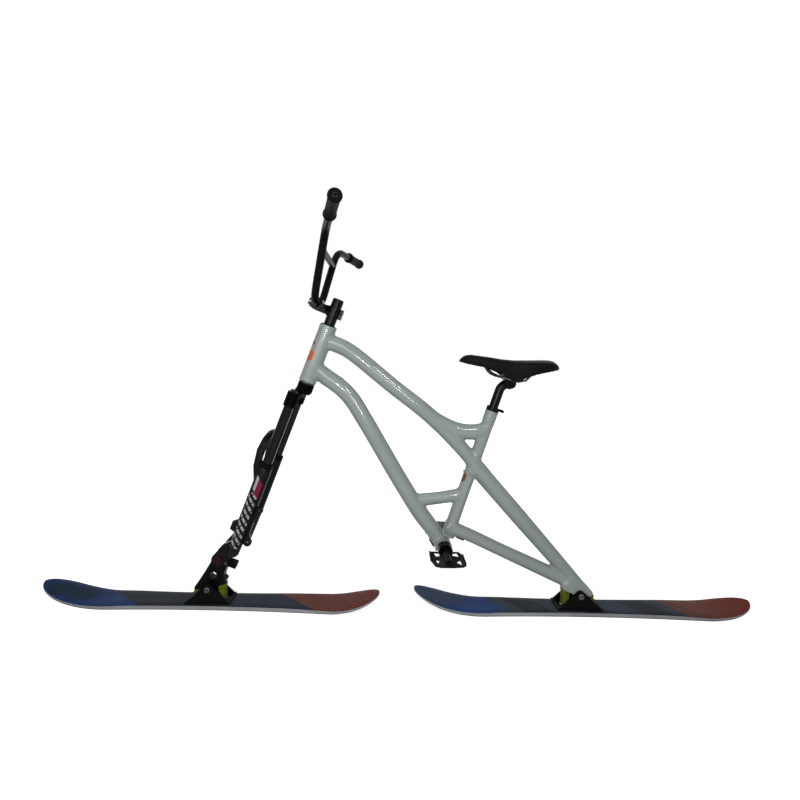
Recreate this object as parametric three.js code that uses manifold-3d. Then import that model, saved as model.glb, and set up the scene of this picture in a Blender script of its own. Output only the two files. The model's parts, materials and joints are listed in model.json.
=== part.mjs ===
// Ski bike with a sprung fork, two short skis on rubber-centred pivots and no cranks.
// Units are millimetres, Z is up, the bike's front faces -X and its right side faces +Y.
import * as THREE from 'three';
import { mergeVertices } from 'three/addons/utils/BufferGeometryUtils.js';
import Module from 'manifold-3d';

const wasm = await Module();
wasm.setup();

// Clearances between neighbouring pieces
const seatGap = 0.3;
const slideGap = 0.4;
const cutOverrun = 2;

// Mesh fineness, in sides round a full turn
const coarseSides = 8;
const roundSides = 12;
const fineSides = 16;
const tubeSides = 14;
const wireSides = 8;
const wireSteps = 22;
const bendSteps = 6;

// Ski sizes
const skiLength = 972;
const skiWaist = 76;
const skiShovel = 100;
const skiThickness = 12.5;
const skiTipThickness = 6;
const skiTipRise = 52;
const skiTipRun = 205;
const skiTailRises = { front: 37, rear: 31 };
const skiTailRun = 150;
const skiTipRound = 90;
const skiStations = 34;
const skiEdge = 1.2;
const skiEndHalf = 2;
const skiSpacing = 100;
const frontSkiMiddle = -(skiLength + skiSpacing) / 2;
const rearSkiMiddle = (skiLength + skiSpacing) / 2;

// Pivots that carry the skis
const pivotHeight = 54;
const rearPivotReach = 524;
const rearPivot = { x: rearPivotReach, z: pivotHeight };
const pivotBoltRadius = 6;
const pivotHeadRadius = 8.2;
const pivotHeadHeight = 5;
const smallBevel = 1;
const pivotHeadSocket = 4;
const barrelRadius = 15;
const barrelHalfWidth = 24;

// Ski brackets
const bracketLength = 128;
const bracketWidth = 66;
const bracketBase = 5;
const bracketLift = 0.3;
const earThickness = 5.5;
const earTopRadius = 14.5;
const earFootShare = 0.96;
const screwRadius = 3;
const screwHeadRadius = 5;
const screwHeadHeight = 2.4;
const screwDepth = 9;
const screwSpread = 46;

// Rubber blocks under each pivot
const blockLength = 20;
const blockWidth = 22;
const blockOffset = 35;
const frontBlockTops = { front: { outer: 46.2, inner: 46.2 }, rear: { outer: 61.5, inner: 56 } };
const rearBlockTops = { front: { outer: 63, inner: 56.4 }, rear: { outer: 48.8, inner: 48.8 } };

// Head tube and steering axis
const headFoot = { x: -271, z: 649.5 };
const headAngle = 70.1;
const headLength = 173.5;
const headRadius = 24.5;
const headBore = 18.5;
const bearingRadius = 20.5;
const bearingHeight = 8;
const steererRadius = 14.3;
const steererWall = 2.4;

// Frame tubes, as routes in the middle plane and half sizes
const headRise = THREE.MathUtils.degToRad(headAngle);
const headTop = {
  x: headFoot.x + Math.cos(headRise) * headLength,
  z: headFoot.z + Math.sin(headRise) * headLength,
};
const topTubeSeat = { behind: -16, below: 41.6 };
const topTubeLeave = { behind: 14, below: 50.6 };
const topTubeBend = { behind: 57.2, below: 69.3 };
const topTubeStart = [topTubeSeat, topTubeLeave, topTubeBend].map(({ behind, below }) => [headTop.x + behind,
  headTop.z - below]);
const topTubeEnd = { behind: 6, above: 14 };
const topTubeRoute = [...topTubeStart, [-25, 643], [95.6, 549.9], [202, 441], [232, 402], [352, 267],
  [460, 147], [rearPivot.x + topTubeEnd.behind, rearPivot.z + topTubeEnd.above]];
const topTubeDepths = [24, 23.5, 23, 23, 23, 21, 25, 24, 21, 19];
const topTubeWidths = [21, 21, 21, 21, 21, 21, 22, 20, 18, 18];
const branchRoute = [[40, 592], [95.6, 551], [136, 528], [176, 514.5], [214, 512], [252, 518]];
const branchDepths = [20, 22.5, 23, 23, 23, 23];
const branchWidths = [18, 20, 20, 20, 19, 17];
const downTubeRoute = [[-252, 694], [-222, 668], [-177, 637], [-144, 605], [-103, 543], [3, 369], [66, 272],
  [102, 226], [131, 181]];
const downTubeDepths = [22, 25, 25, 25, 24.5, 24, 24, 22.5, 22];
const downTubeWidths = [20, 22, 22, 22, 22, 22, 24, 25, 26];
const braceRoute = [[48, 309], [75, 313], [120, 319], [163, 326], [184, 329]];
const braceDepths = [20, 18.5, 17.5, 18.5, 21];
const braceWidths = [16, 16, 16, 16, 16];
const lowerStayEnd = { ahead: 27, above: 30 };
const lowerStayRoute = [[140, 236], [189.6, 220], [300, 171], [420, 118],
  [rearPivot.x - lowerStayEnd.ahead, rearPivot.z + lowerStayEnd.above]];
const lowerStayDepths = [22, 18.5, 18, 19.5, 20];
const lowerStayWidths = [22, 20, 18, 17, 17];
const seatTubeTop = { x: 269.8, z: 580 };
const seatTubeFoot = { x: 146, z: 212 };
const seatTubeRadius = 18;
const seatSleeveRadius = 19.2;
const seatSleeveLength = 30;
const seatNeckRadius = 16.2;
const seatNeckLength = 7;
const seatPostRadius = 13.6;
const seatBoreDepth = 190;
const rearFootFrontShares = [[-2.2, 2.6], [-3.25, 1.75], [-3.2, 0.9], [-1.3, 0.1]];
const rearFootRearShares = [[1, -0.25], [2.25, -0.3], [2.51, 0.1], [2.46, 0.61], [1, 2.15]];
const routeSamples = 12;
const shortRouteSamples = 7;

// Cable guides
const guideLength = 24;
const guideWidth = 10;
const guideHeight = 8;
const guideNotch = 2;
const guideSink = 5;
const guideOnDownTubeShare = 0.945;
const guideOnStayShare = 0.24;

// Bottom bracket and foot pegs
const bracketShell = { x: 132, z: 190.5 };
const shellRadius = 21.5;
const shellHalfWidth = 41.5;
const shellBore = 17.5;
const cupRadius = 20.5;
const cupFlange = 6;
const cupDepth = 12;
const cupHoldRadius = 17;
const axleRadius = 8.5;
const pegRadius = 20;
const pegStart = 48;
const pegEnd = 70.5;
const spindleRadius = 6;
const spindleEnd = 138;
const spindleShoulder = 3;

// Pedals, with plan outlines as shares of half the length and of the depth
const pedalInner = 72;
const pedalOuter = 163;
const pedalHalfLength = 46;
const pedalPlate = 3;
const pedalCoreRadius = 10;
const pedalCoreShare = 0.8;
const pedalRimShares = [[-0.95, 0], [0.75, 0], [0.91, 0.19], [0.91, 0.84], [0.75, 0.95], [0.18, 1],
  [-0.47, 1], [-0.76, 0.93], [-0.95, 0.56]];
const pedalWindowShares = [
  [[-0.78, 0.06], [-0.46, 0.08], [-0.4, 0.29], [-0.64, 0.36]],
  [[0.33, 0.09], [0.63, 0.05], [0.7, 0.35], [0.33, 0.28]],
  [[-0.74, 0.53], [-0.48, 0.61], [-0.63, 0.82]],
  [[0.41, 0.7], [0.69, 0.55], [0.72, 0.91]],
  [[-0.26, 0.84], [0.18, 0.84], [0.07, 0.92], [-0.04, 0.955], [-0.15, 0.92]],
];
const cageThickness = 2.6;
const cageHalfHeight = 4.5;
const cageStartShare = 0.02;
const cageRearShare = 0.2;
const cageFrontEndShare = 0.56;
const cageRearEndShare = 0.84;
const toothDepth = 2;
const toothCount = 5;

// Fork
const forkHalfWidth = 58;
const forkLead = 14.5;
const crownTop = -4.6;
const crownBossRadius = 24;
const crownBossHeight = 31;
const sleeveRadius = 18;
const sleeveTop = -34;
const sleeveFoot = -76;
const crownArmDepth = 30;
const stanchionRadius = 14;
const stanchionWall = 2.2;
const stanchionFoot = -395;
const knobRadius = 12.5;
const knobHeight = 7;
const sealRadius = 19.4;
const sealTop = -246;
const sealHeight = 11;
const legTopRadius = 19.5;
const legFootRadius = 16.5;
const legTop = -258;
const legFoot = -520;
const legBoreFoot = -492;
const forkTravel = 80;
const archRoute = [[-22, 58, -300], [-38, 57, -262], [-45, 52, -220], [-44, 38, -190], [-42, 18, -178]];
const archRadius = 12;
const axleLead = 45.5;
const axleDrop = -545;
const throughAxleRadius = 10;
const axleHeadShare = 1.15;
const axleHeadHeight = 4;
const dropoutRadius = 19;
const dropoutThickness = 12;
const dropoutInner = 50;
const tabThickness = 9;
const finReach = 12;
const finTop = -429;
const finHeight = 22;
const brakeTabUpper = { x: 15, z: -376 };
const brakeTabLower = { x: 13, z: -470 };
const brakeTabRadius = 8;
const brakeHoleRadius = 3;

// Mount between the fork and the front ski, whose pivot sits ahead of the fork's axle
const frontPivotLead = 40.7;
const frontPivot = {
  x: headFoot.x - axleLead * Math.sin(headRise) + axleDrop * Math.cos(headRise) - frontPivotLead,
  z: pivotHeight,
};
const mountHalfWidth = 24;
const mountBodyHalfWidth = 14;
const mountHubHalfWidth = 49.5;
const mountHubRadius = 16;
const mountFrontShares = [[-0.88, 3], [-2.01, 1.22], [-2.84, 0.02], [-2.84, -0.47], [-1.4, -0.47], [-1, 0]];
const mountRearShares = [[1, 0], [2.83, 0.56], [3.15, 1.3], [2.62, 1.75], [2.7, 2.4], [3.36, 4.1]];
const mountWindowRadius = 10.5;
const mountWindowShares = [0.65, 2.23];
const mountStopLength = 36;
const mountStopHeight = 18;
const mountStopHalfWidth = 10;
const mountStopShares = [0.47, -1.85];
const mountBoltShares = [0.38, -1.76];

// Headset parts and stem, measured up the steering axis
const coverHeight = 4;
const coverRadius = 24;
const lowerSpacerStack = 26.1;
const lowerSpacerTop = headLength + lowerSpacerStack;
const spacerRadius = 16.6;
const stemHeight = 30;
const stemFoot = lowerSpacerTop + slideGap;
const stemTop = stemFoot + stemHeight;
const stemRadius = 20.5;
const stemReach = 53.5;
const stemRise = 8.5;
const stemClampRadius = 19;
const stemHalfWidth = 21;
const stemNeckHalfWidth = 15;
const stemLugLength = 12;
const stemLugHalfWidth = 9;
const stemSlot = 3;
const upperSpacerStack = 20;
const upperSpacerTop = stemTop + upperSpacerStack;
const capHeight = 5.5;
const boltRadius = 2.6;
const boltHeadRadius = 4.6;
const boltHeadHeight = 4.4;

// Handlebar
const barRadius = 11.1;
const barRise = 184.2;
const barClampHalf = 64;
const barTop = { x: 39, y: 128, z: barRise };
const barEnd = { x: 92.2, y: 363, z: 190.4 };
const barLowBend = 44;
const barHighBend = 48;
const crossbarRadius = 9.5;
const crossbarShare = 0.72;
const gripLength = 126;
const gripRadius = 14.6;
const gripFlangeRadius = 17.2;
const gripFlange = 4;
const gripEndRadius = 17;
const plugRadius = 9;
const plugStep = 3;
const gripEndRounding = 3;
const plugDepth = 20;
const barWall = 1.9;

// Seat post and clamp
const postAngle = 71.4;
const postInsert = 120;
const postBendRise = 70;
const postBendRound = 13;
const postWall = 2.5;
const headCentre = { x: 316.5, z: 656 };
const headCradleRadius = 16;
const headHalfWidth = 19;
const railOffset = 22;
const railRadius = 3.5;
const clampPlate = 6;
const clampHalfLength = 19;
const clampHalfWidth = 29;
const collarHeight = 13.4;
const collarRadius = 19;
const collarLug = 13.5;
const collarLugHeight = 8;
const collarLugHalfWidth = 8;

// Saddle, as stations along its length
const saddleLength = 279;
const saddleForwardShare = 0.525;
const saddleNose = headCentre.x - saddleLength * saddleForwardShare;
const saddleStations = 17;
const saddleTopLine = [[0, 719.5], [0.02, 728], [0.06, 735], [0.12, 737], [0.3, 731], [0.45, 725],
  [0.57, 722.5], [0.75, 723.5], [0.88, 724.5], [0.94, 721.5], [0.98, 715], [1, 708]];
const saddleSkirtLine = [[0, 715.5], [0.05, 712], [0.13, 706.5], [0.26, 700.5], [0.35, 690.5], [0.42, 679],
  [0.5, 666],
  [0.55, 659.5], [0.6, 663], [0.66, 673], [0.77, 684], [0.88, 691], [0.95, 695.5], [0.985, 697], [1, 702]];
const saddleHalfWidths = [[0, 11], [0.02, 16], [0.06, 19], [0.12, 20.5], [0.26, 23], [0.38, 30], [0.5, 43],
  [0.62, 58], [0.74, 68], [0.84, 71], [0.92, 66], [0.97, 56], [1, 44]];
const saddleEdgeDrop = 9;
const saddleEndHeight = 4;
const saddlePadding = 9;
const saddleSkirtWall = 4;
const saddleInnerEnd = 1;
const shellWall = 3;
const shellStartShare = 0.07;
const shellEndShare = 0.93;
const railLine = [[245, 707], [251, 697], [260, 686], [278, 677], [300, 672], [348, 659.4], [366, 672],
  [382, 690], [398, 702]];
const railSpreadShares = [0.4, 0.5, 0.72, 0.9, 1, 1, 1, 1, 1];
const railSocketHeight = 14;
const railSocketLength = 18;

// Colours
const paintGrey = 0x8b978f;
const satinBlack = 0x17171a;
const glossBlack = 0x0f0f11;
const steelGrey = 0x9a9c9e;
const stanchionBronze = 0x3a3330;
const rubberBlack = 0x202022;
const anodisedRed = 0x8e1020;
const blockYellow = 0xa7ad45;
const deckBlue = 0x2c3a55;
const deckRed = 0x5a3838;

const lean = THREE.MathUtils.degToRad(90 - headAngle);
const group = new THREE.Group();

// Basic shape helpers

// Welds a shape's corners and turns its faces outwards
function welded(geometry) {
  const bare = new THREE.BufferGeometry();
  bare.setAttribute('position', geometry.getAttribute('position').clone());
  if (geometry.index) {
    bare.setIndex(geometry.index.clone());
  }
  const merged = mergeVertices(bare, 1e-4);
  const place = merged.getAttribute('position');
  const index = merged.index.array;
  const corner = (i) => new THREE.Vector3().fromBufferAttribute(place, index[i]);
  const triangles = [];
  let volume = 0;
  for (let i = 0; i < index.length; i += 3) {
    const [a, b, c] = [index[i], index[i + 1], index[i + 2]];
    if (a !== b && b !== c && c !== a) {
      triangles.push([a, b, c]);
      volume += corner(i).dot(corner(i + 1).cross(corner(i + 2)));
    }
  }
  merged.setIndex(triangles.flatMap(([a, b, c]) => (volume < 0 ? [b, a, c] : [a, b, c])));
  return merged;
}

function toSolid(geometry) {
  const shape = welded(geometry);
  return new wasm.Manifold(new wasm.Mesh({
    numProp: 3,
    vertProperties: new Float32Array(shape.getAttribute('position').array),
    triVerts: new Uint32Array(shape.index.array),
  }));
}

function toGeometry(solid) {
  const mesh = solid.getMesh();
  const geometry = new THREE.BufferGeometry();
  geometry.setAttribute('position', new THREE.BufferAttribute(new Float32Array(mesh.vertProperties), 3));
  geometry.setIndex(new THREE.BufferAttribute(new Uint32Array(mesh.triVerts), 1));
  return geometry;
}

function joinAll(shapes) {
  return shapes.map(toSolid).reduce((sum, next) => sum.add(next));
}

function cutAll(solid, shapes) {
  return shapes.map(toSolid).reduce((rest, next) => rest.subtract(next), solid);
}

function addPiece(name, shape, colour, metalness, roughness) {
  const geometry = shape.isBufferGeometry ? welded(shape) : toGeometry(shape);
  geometry.computeVertexNormals();
  const material = new THREE.MeshStandardMaterial({ color: colour, metalness, roughness });
  material.name = `${name}_finish`;
  const mesh = new THREE.Mesh(geometry, material);
  mesh.name = name;
  group.add(mesh);
}

function turned(points, sides) {
  const profile = points.map(([radius, height]) => new THREE.Vector2(radius, height));
  return new THREE.LatheGeometry(profile, sides).rotateX(Math.PI / 2);
}

function ring(outer, inner, height, base, sides) {
  const top = base + height;
  return turned([[inner, base], [outer, base], [outer, top], [inner, top], [inner, base]], sides);
}

function rod(radius, base, top, sides) {
  return turned([[0, base], [radius, base], [radius, top], [0, top]], sides);
}

// A rod that lies across the bike, from one Y to another
function crossRod(x, z, radius, from, to, sides) {
  return rod(radius, from, to, sides).rotateX(-Math.PI / 2).translate(x, 0, z);
}

function block(width, depth, height) {
  return new THREE.BoxGeometry(width, depth, height);
}

// An outline in the XZ plane made into a plate between two Y values
function plate(points, from, to) {
  const outline = new THREE.Shape(points.map(([x, z]) => new THREE.Vector2(x, z)));
  const shape = new THREE.ExtrudeGeometry(outline,
    { depth: to - from, bevelEnabled: false, curveSegments: 8 });
  return shape.rotateX(Math.PI / 2).translate(0, to, 0);
}

function arcPoints(x, z, radius, startAngle, endAngle, steps) {
  const points = [];
  for (let i = 0; i <= steps; i += 1) {
    const angle = THREE.MathUtils.degToRad(startAngle + ((endAngle - startAngle) * i) / steps);
    points.push([x + radius * Math.cos(angle), z + radius * Math.sin(angle)]);
  }
  return points;
}

// A closed skin through rings of equal length, with flat ends
function skin(rings) {
  const count = rings[0].length;
  const positions = rings.flat().flatMap((point) => [point.x, point.y, point.z]);
  const triangles = [];
  for (let r = 0; r + 1 < rings.length; r += 1) {
    for (let i = 0; i < count; i += 1) {
      const a = r * count + i;
      const b = r * count + ((i + 1) % count);
      triangles.push(a, b, a + count, b, b + count, a + count);
    }
  }
  const flat = new THREE.BufferGeometry();
  const last = (rings.length - 1) * count;
  for (const [start, turn] of [[0, true], [last, false]]) {
    const centre = rings[start === 0 ? 0 : rings.length - 1].reduce(
      (sum, point) => sum.add(point), new THREE.Vector3()).divideScalar(count);
    const middle = positions.length / 3;
    positions.push(centre.x, centre.y, centre.z);
    for (let i = 0; i < count; i += 1) {
      const a = start + i;
      const b = start + ((i + 1) % count);
      triangles.push(...(turn ? [b, a, middle] : [a, b, middle]));
    }
  }
  flat.setAttribute('position', new THREE.Float32BufferAttribute(positions, 3));
  flat.setIndex(triangles);
  return flat;
}

function along(list, share) {
  const place = share * (list.length - 1);
  const low = Math.min(Math.floor(place), list.length - 2);
  return THREE.MathUtils.lerp(list[low], list[low + 1], place - low);
}

function lookUp(table, share) {
  const above = table.findIndex(([place]) => place >= share);
  if (above <= 0) {
    return table[Math.max(above, 0)][1];
  }
  const [lowPlace, lowValue] = table[above - 1];
  const [highPlace, highValue] = table[above];
  return THREE.MathUtils.lerp(lowValue, highValue, (share - lowPlace) / (highPlace - lowPlace));
}

function tubeCurve(route) {
  return new THREE.CatmullRomCurve3(route.map(([x, z]) => new THREE.Vector3(x, 0, z)), false, 'centripetal');
}

// A frame tube with an oval section that changes along its route
function frameTube(route, depths, widths, samples = routeSamples) {
  const curve = tubeCurve(route);
  const rings = [];
  for (let i = 0; i <= samples; i += 1) {
    const share = i / samples;
    const centre = curve.getPoint(share);
    const ahead = curve.getTangent(share);
    const up = new THREE.Vector3(-ahead.z, 0, ahead.x);
    const depth = along(depths, share);
    const width = along(widths, share);
    const points = [];
    for (let k = 0; k < tubeSides; k += 1) {
      const angle = (2 * Math.PI * k) / tubeSides;
      const point = centre.clone().addScaledVector(up, depth * Math.cos(angle));
      point.y += width * Math.sin(angle);
      points.push(point);
    }
    rings.push(points);
  }
  return skin(rings);
}

// Points along straight runs joined by round bends
function bentPath(corners, bends, steps) {
  const points = [corners[0].clone()];
  for (let i = 1; i + 1 < corners.length; i += 1) {
    const before = corners[i - 1].clone().sub(corners[i]).normalize().multiplyScalar(bends[i - 1])
      .add(corners[i]);
    const after = corners[i + 1].clone().sub(corners[i]).normalize().multiplyScalar(bends[i - 1])
      .add(corners[i]);
    const bend = new THREE.QuadraticBezierCurve3(before, corners[i], after);
    points.push(...bend.getPoints(steps));
  }
  points.push(corners[corners.length - 1].clone());
  return points;
}

// A tube of round section that follows a list of points
function pipe(points, radius, sides) {
  const rings = [];
  let side = null;
  for (let i = 0; i < points.length; i += 1) {
    const back = points[Math.max(i - 1, 0)];
    const front = points[Math.min(i + 1, points.length - 1)];
    const ahead = front.clone().sub(back).normalize();
    if (side === null) {
      side = Math.abs(ahead.z) > 0.9 ? new THREE.Vector3(1, 0, 0) : new THREE.Vector3(0, 0, 1);
    }
    side = side.clone().addScaledVector(ahead, -side.dot(ahead)).normalize();
    const other = new THREE.Vector3().crossVectors(ahead, side);
    const points2 = [];
    for (let k = 0; k < sides; k += 1) {
      const angle = (2 * Math.PI * k) / sides;
      points2.push(points[i].clone().addScaledVector(side, radius * Math.cos(angle))
        .addScaledVector(other, radius * Math.sin(angle)));
    }
    rings.push(points2);
  }
  return skin(rings);
}

// Moves a shape from the steering frame, where Z runs up the steering axis, into the bike
function steer(geometry) {
  return geometry.rotateY(lean).translate(headFoot.x, 0, headFoot.z);
}

function steerSolid(solid) {
  return steer(toGeometry(solid));
}

function alongSeat(distance, from = seatTubeTop) {
  const angle = THREE.MathUtils.degToRad(postAngle);
  return { x: from.x + distance * Math.cos(angle), z: from.z + distance * Math.sin(angle) };
}

// Stands a shape built on Z at the top of the seat tube
function atSeat(geometry) {
  return geometry.rotateY(THREE.MathUtils.degToRad(90 - postAngle))
    .translate(seatTubeTop.x, 0, seatTubeTop.z);
}

// Frame, the hardest piece: two main tubes that fork and meet again at the rear foot

function seatTubeShape() {
  const run = Math.hypot(seatTubeTop.x - seatTubeFoot.x, seatTubeTop.z - seatTubeFoot.z);
  const sleeveStart = -seatSleeveLength;
  return turned([
    [0, -run], [seatTubeRadius, -run], [seatTubeRadius, sleeveStart - seatSleeveRadius],
    [seatSleeveRadius, sleeveStart], [seatSleeveRadius, -seatNeckLength], [seatNeckRadius, -seatNeckLength],
    [seatNeckRadius, 0], [0, 0],
  ], fineSides);
}

function frameFootPlate() {
  const { x, z } = rearPivot;
  const place = ([acrossShare, upShare]) => [x + barrelRadius * acrossShare, z + barrelRadius * upShare];
  const outline = [
    ...rearFootFrontShares.map(place),
    ...arcPoints(x, z, barrelRadius, 200, 340, 8),
    ...rearFootRearShares.map(place),
  ];
  return plate(outline, -barrelHalfWidth + seatGap, barrelHalfWidth - seatGap);
}

function mainFrame() {
  const head = steer(rod(headRadius, 0, headLength, fineSides));
  const shell = crossRod(bracketShell.x, bracketShell.z, shellRadius, -shellHalfWidth, shellHalfWidth,
    fineSides);
  const seatTube = atSeat(seatTubeShape());
  let frame = joinAll([
    frameTube(topTubeRoute, topTubeDepths, topTubeWidths),
    frameTube(downTubeRoute, downTubeDepths, downTubeWidths),
    frameTube(branchRoute, branchDepths, branchWidths, shortRouteSamples),
    frameTube(braceRoute, braceDepths, braceWidths, shortRouteSamples),
    frameTube(lowerStayRoute, lowerStayDepths, lowerStayWidths, shortRouteSamples * 2),
    seatTube, head, shell, frameFootPlate(),
  ]);
  const seatSlot = block(seatTubeRadius + cutOverrun * 2, seatGap * 6, collarHeight * 2)
    .translate((seatTubeRadius + cutOverrun * 2) / 2, 0, 0);
  frame = cutAll(frame, [
    steer(rod(headBore, -cutOverrun, headLength + cutOverrun, fineSides)),
    steer(rod(bearingRadius + seatGap, -cutOverrun, bearingHeight + seatGap, fineSides)),
    steer(rod(bearingRadius + seatGap, headLength - bearingHeight - seatGap, headLength + cutOverrun,
      fineSides)),
    crossRod(bracketShell.x, bracketShell.z, shellBore, -shellHalfWidth - cutOverrun,
      shellHalfWidth + cutOverrun, fineSides),
    atSeat(rod(seatPostRadius + slideGap, -seatBoreDepth, cutOverrun, fineSides)),
    atSeat(seatSlot),
    crossRod(rearPivot.x, rearPivot.z, pivotBoltRadius + seatGap, -barrelHalfWidth - cutOverrun,
      barrelHalfWidth + cutOverrun, roundSides),
  ]);
  addPiece('frame', frame, paintGrey, 0.2, 0.35);
}

function frameFittings() {
  const upperBase = headLength - bearingHeight;
  addPiece('lower_head_bearing', steer(ring(bearingRadius, steererRadius + seatGap, bearingHeight - seatGap,
    seatGap, fineSides)), steelGrey, 0.8, 0.35);
  addPiece('upper_head_bearing', steer(ring(bearingRadius, steererRadius + seatGap, bearingHeight - seatGap,
    upperBase, fineSides)), steelGrey, 0.8, 0.35);
  for (const [name, side] of [['left', -1], ['right', 1]]) {
    const start = shellHalfWidth + seatGap;
    const cup = joinAll([
      crossRod(bracketShell.x, bracketShell.z, cupRadius, start, start + cupFlange, fineSides),
      crossRod(bracketShell.x, bracketShell.z, cupHoldRadius, start - cupDepth, start + seatGap, fineSides),
    ]);
    const bored = toGeometry(cutAll(cup, [crossRod(bracketShell.x, bracketShell.z, axleRadius + seatGap,
      start - cupDepth - cutOverrun, start + cupFlange + cutOverrun, roundSides)]));
    addPiece(`${name}_bearing_cup`, bored.scale(1, side, 1),
      satinBlack, 0.4, 0.4);
  }
  const collarBase = seatGap - seatNeckLength;
  const collarTop = collarHeight - seatNeckLength;
  const reach = collarRadius + collarLug;
  const lugBolt = collarRadius + collarLug * 0.36;
  const lugRoot = reach - collarLugHeight / 2;
  const lugMiddle = collarTop - collarLugHeight / 2;
  let collar = joinAll([
    rod(collarRadius, collarBase, collarTop, fineSides),
    block(lugRoot, collarLugHalfWidth * 2, collarLugHeight).translate(lugRoot / 2, 0, lugMiddle),
    rod(collarLugHeight / 2, -collarLugHalfWidth, collarLugHalfWidth, roundSides).rotateX(Math.PI / 2)
      .translate(lugRoot, 0, lugMiddle),
  ]);
  collar = cutAll(collar, [
    rod(seatNeckRadius + seatGap, collarBase - cutOverrun, seatGap, fineSides),
    rod(seatPostRadius + slideGap, -seatGap, collarHeight, fineSides),
    block(reach, stemSlot, collarHeight * 2).translate(reach / 2 + seatPostRadius, 0, 0),
    rod(boltRadius + seatGap, -reach, reach, coarseSides).rotateX(Math.PI / 2)
      .translate(lugBolt, 0, lugMiddle),
  ]);
  addPiece('seat_collar', atSeat(toGeometry(collar)), satinBlack, 0.5, 0.35);
  addPiece('seat_collar_bolt', atSeat(crossBolt(collarLugHalfWidth).translate(lugBolt, 0, lugMiddle)),
    steelGrey, 0.9, 0.3);
}

// A socket screw that lies across the bike with its head on the near side and its nut on the far side
function crossBolt(halfWidth) {
  const headBase = halfWidth + seatGap;
  const solid = turned([
    [0, -headBase - boltHeadHeight / 2],
    [boltHeadRadius, -headBase - boltHeadHeight / 2],
    [boltHeadRadius, -headBase],
    [boltRadius, -headBase],
    [boltRadius, headBase],
    [boltHeadRadius, headBase],
    [boltHeadRadius, headBase + boltHeadHeight],
    [boltRadius, headBase + boltHeadHeight],
    [boltRadius, headBase + boltHeadHeight / 2],
    [0, headBase + boltHeadHeight / 2],
  ], coarseSides);
  return solid.rotateX(Math.PI / 2);
}

// Small plastic cable guides with a notch each, under the down tube and behind the bottom bracket
function cableGuides() {
  const places = [
    ['down_tube_guide', downTubeRoute, downTubeDepths, downTubeWidths, routeSamples, guideOnDownTubeShare],
    ['stay_guide', lowerStayRoute, lowerStayDepths, lowerStayWidths, shortRouteSamples * 2,
      guideOnStayShare],
  ];
  for (const [name, route, depths, widths, samples, share] of places) {
    const spot = underTube(route, depths, share, guideHeight / 2 - guideSink);
    const notches = [-1, 1].map((side) => rod(guideNotch, -guideLength, guideLength, coarseSides)
      .rotateY(Math.PI / 2).translate(0, (side * guideWidth) / 4, -guideHeight / 2));
    const shape = toGeometry(cutAll(joinAll([block(guideLength, guideWidth, guideHeight)]), notches));
    shape.rotateY(spot.tilt).translate(spot.x, 0, spot.z);
    const saddled = cutAll(joinAll([shape]), [
      frameTube(route, depths.map((depth) => depth + seatGap), widths.map((width) => width + seatGap),
        samples),
    ]);
    addPiece(name, saddled, satinBlack, 0, 0.5);
  }
}

// The place and tilt of something that hangs under a frame tube
function underTube(route, depths, share, offset) {
  const curve = tubeCurve(route);
  const centre = curve.getPoint(share);
  const ahead = curve.getTangent(share);
  const reach = along(depths, share) + offset;
  return {
    x: centre.x + ahead.z * reach,
    z: centre.z - ahead.x * reach,
    tilt: Math.atan2(-ahead.z, ahead.x),
  };
}

// Foot pegs and pedals in place of cranks

function pegAxle() {
  const middle = pegStart + slideGap;
  const profile = [[0, -spindleEnd], [spindleRadius, -spindleEnd], [spindleRadius, -pegEnd],
    [pegRadius, -pegEnd], [pegRadius, -middle], [axleRadius, -middle]];
  const mirrored = profile.map(([radius, height]) => [radius, -height]).reverse();
  const shape = turned([...profile, ...mirrored], fineSides);
  addPiece('foot_peg_axle', shape.rotateX(-Math.PI / 2).translate(bracketShell.x, 0, bracketShell.z),
    satinBlack, 0.5, 0.35);
}

// Points of a pedal's plan, with its rim moved outwards by a reach
function pedalPlan(shares, reach = 0) {
  const deep = pedalOuter - pedalInner;
  const long = pedalHalfLength + reach;
  return shares.map(([x, y]) => [x * long, pedalInner + deep / 2 + (y - 0.5) * (deep + reach * 2)]);
}

// A level sheet with a given plan and height, centred on the spindle
function sheet(points, height) {
  const outline = new THREE.Shape(points.map(([x, y]) => new THREE.Vector2(x, y)));
  return new THREE.ExtrudeGeometry(outline, { depth: height, bevelEnabled: false })
    .translate(0, 0, -height / 2);
}

function pedals() {
  const coreEnd = pedalInner + (pedalOuter - pedalInner) * pedalCoreShare;
  for (const [name, side] of [['left', -1], ['right', 1]]) {
    const windows = pedalWindowShares.map((shares) => sheet(pedalPlan(shares), pedalPlate * 4));
    const rim = cutAll(joinAll([sheet(pedalPlan(pedalRimShares), pedalPlate)]), windows);
    const core = joinAll([crossRod(0, 0, pedalCoreRadius, pedalInner, coreEnd, fineSides)]);
    const body = cutAll(rim.add(core), [
      crossRod(0, 0, spindleRadius + slideGap, pedalInner - cutOverrun, spindleEnd + spindleShoulder,
        roundSides),
    ]);
    addPiece(`${name}_pedal_body`, placePedal(toGeometry(body), side), satinBlack, 0, 0.55);
    addPiece(`${name}_pedal_cage`, placePedal(toGeometry(pedalCage()), side), glossBlack, 0.6, 0.4);
  }
}

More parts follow.
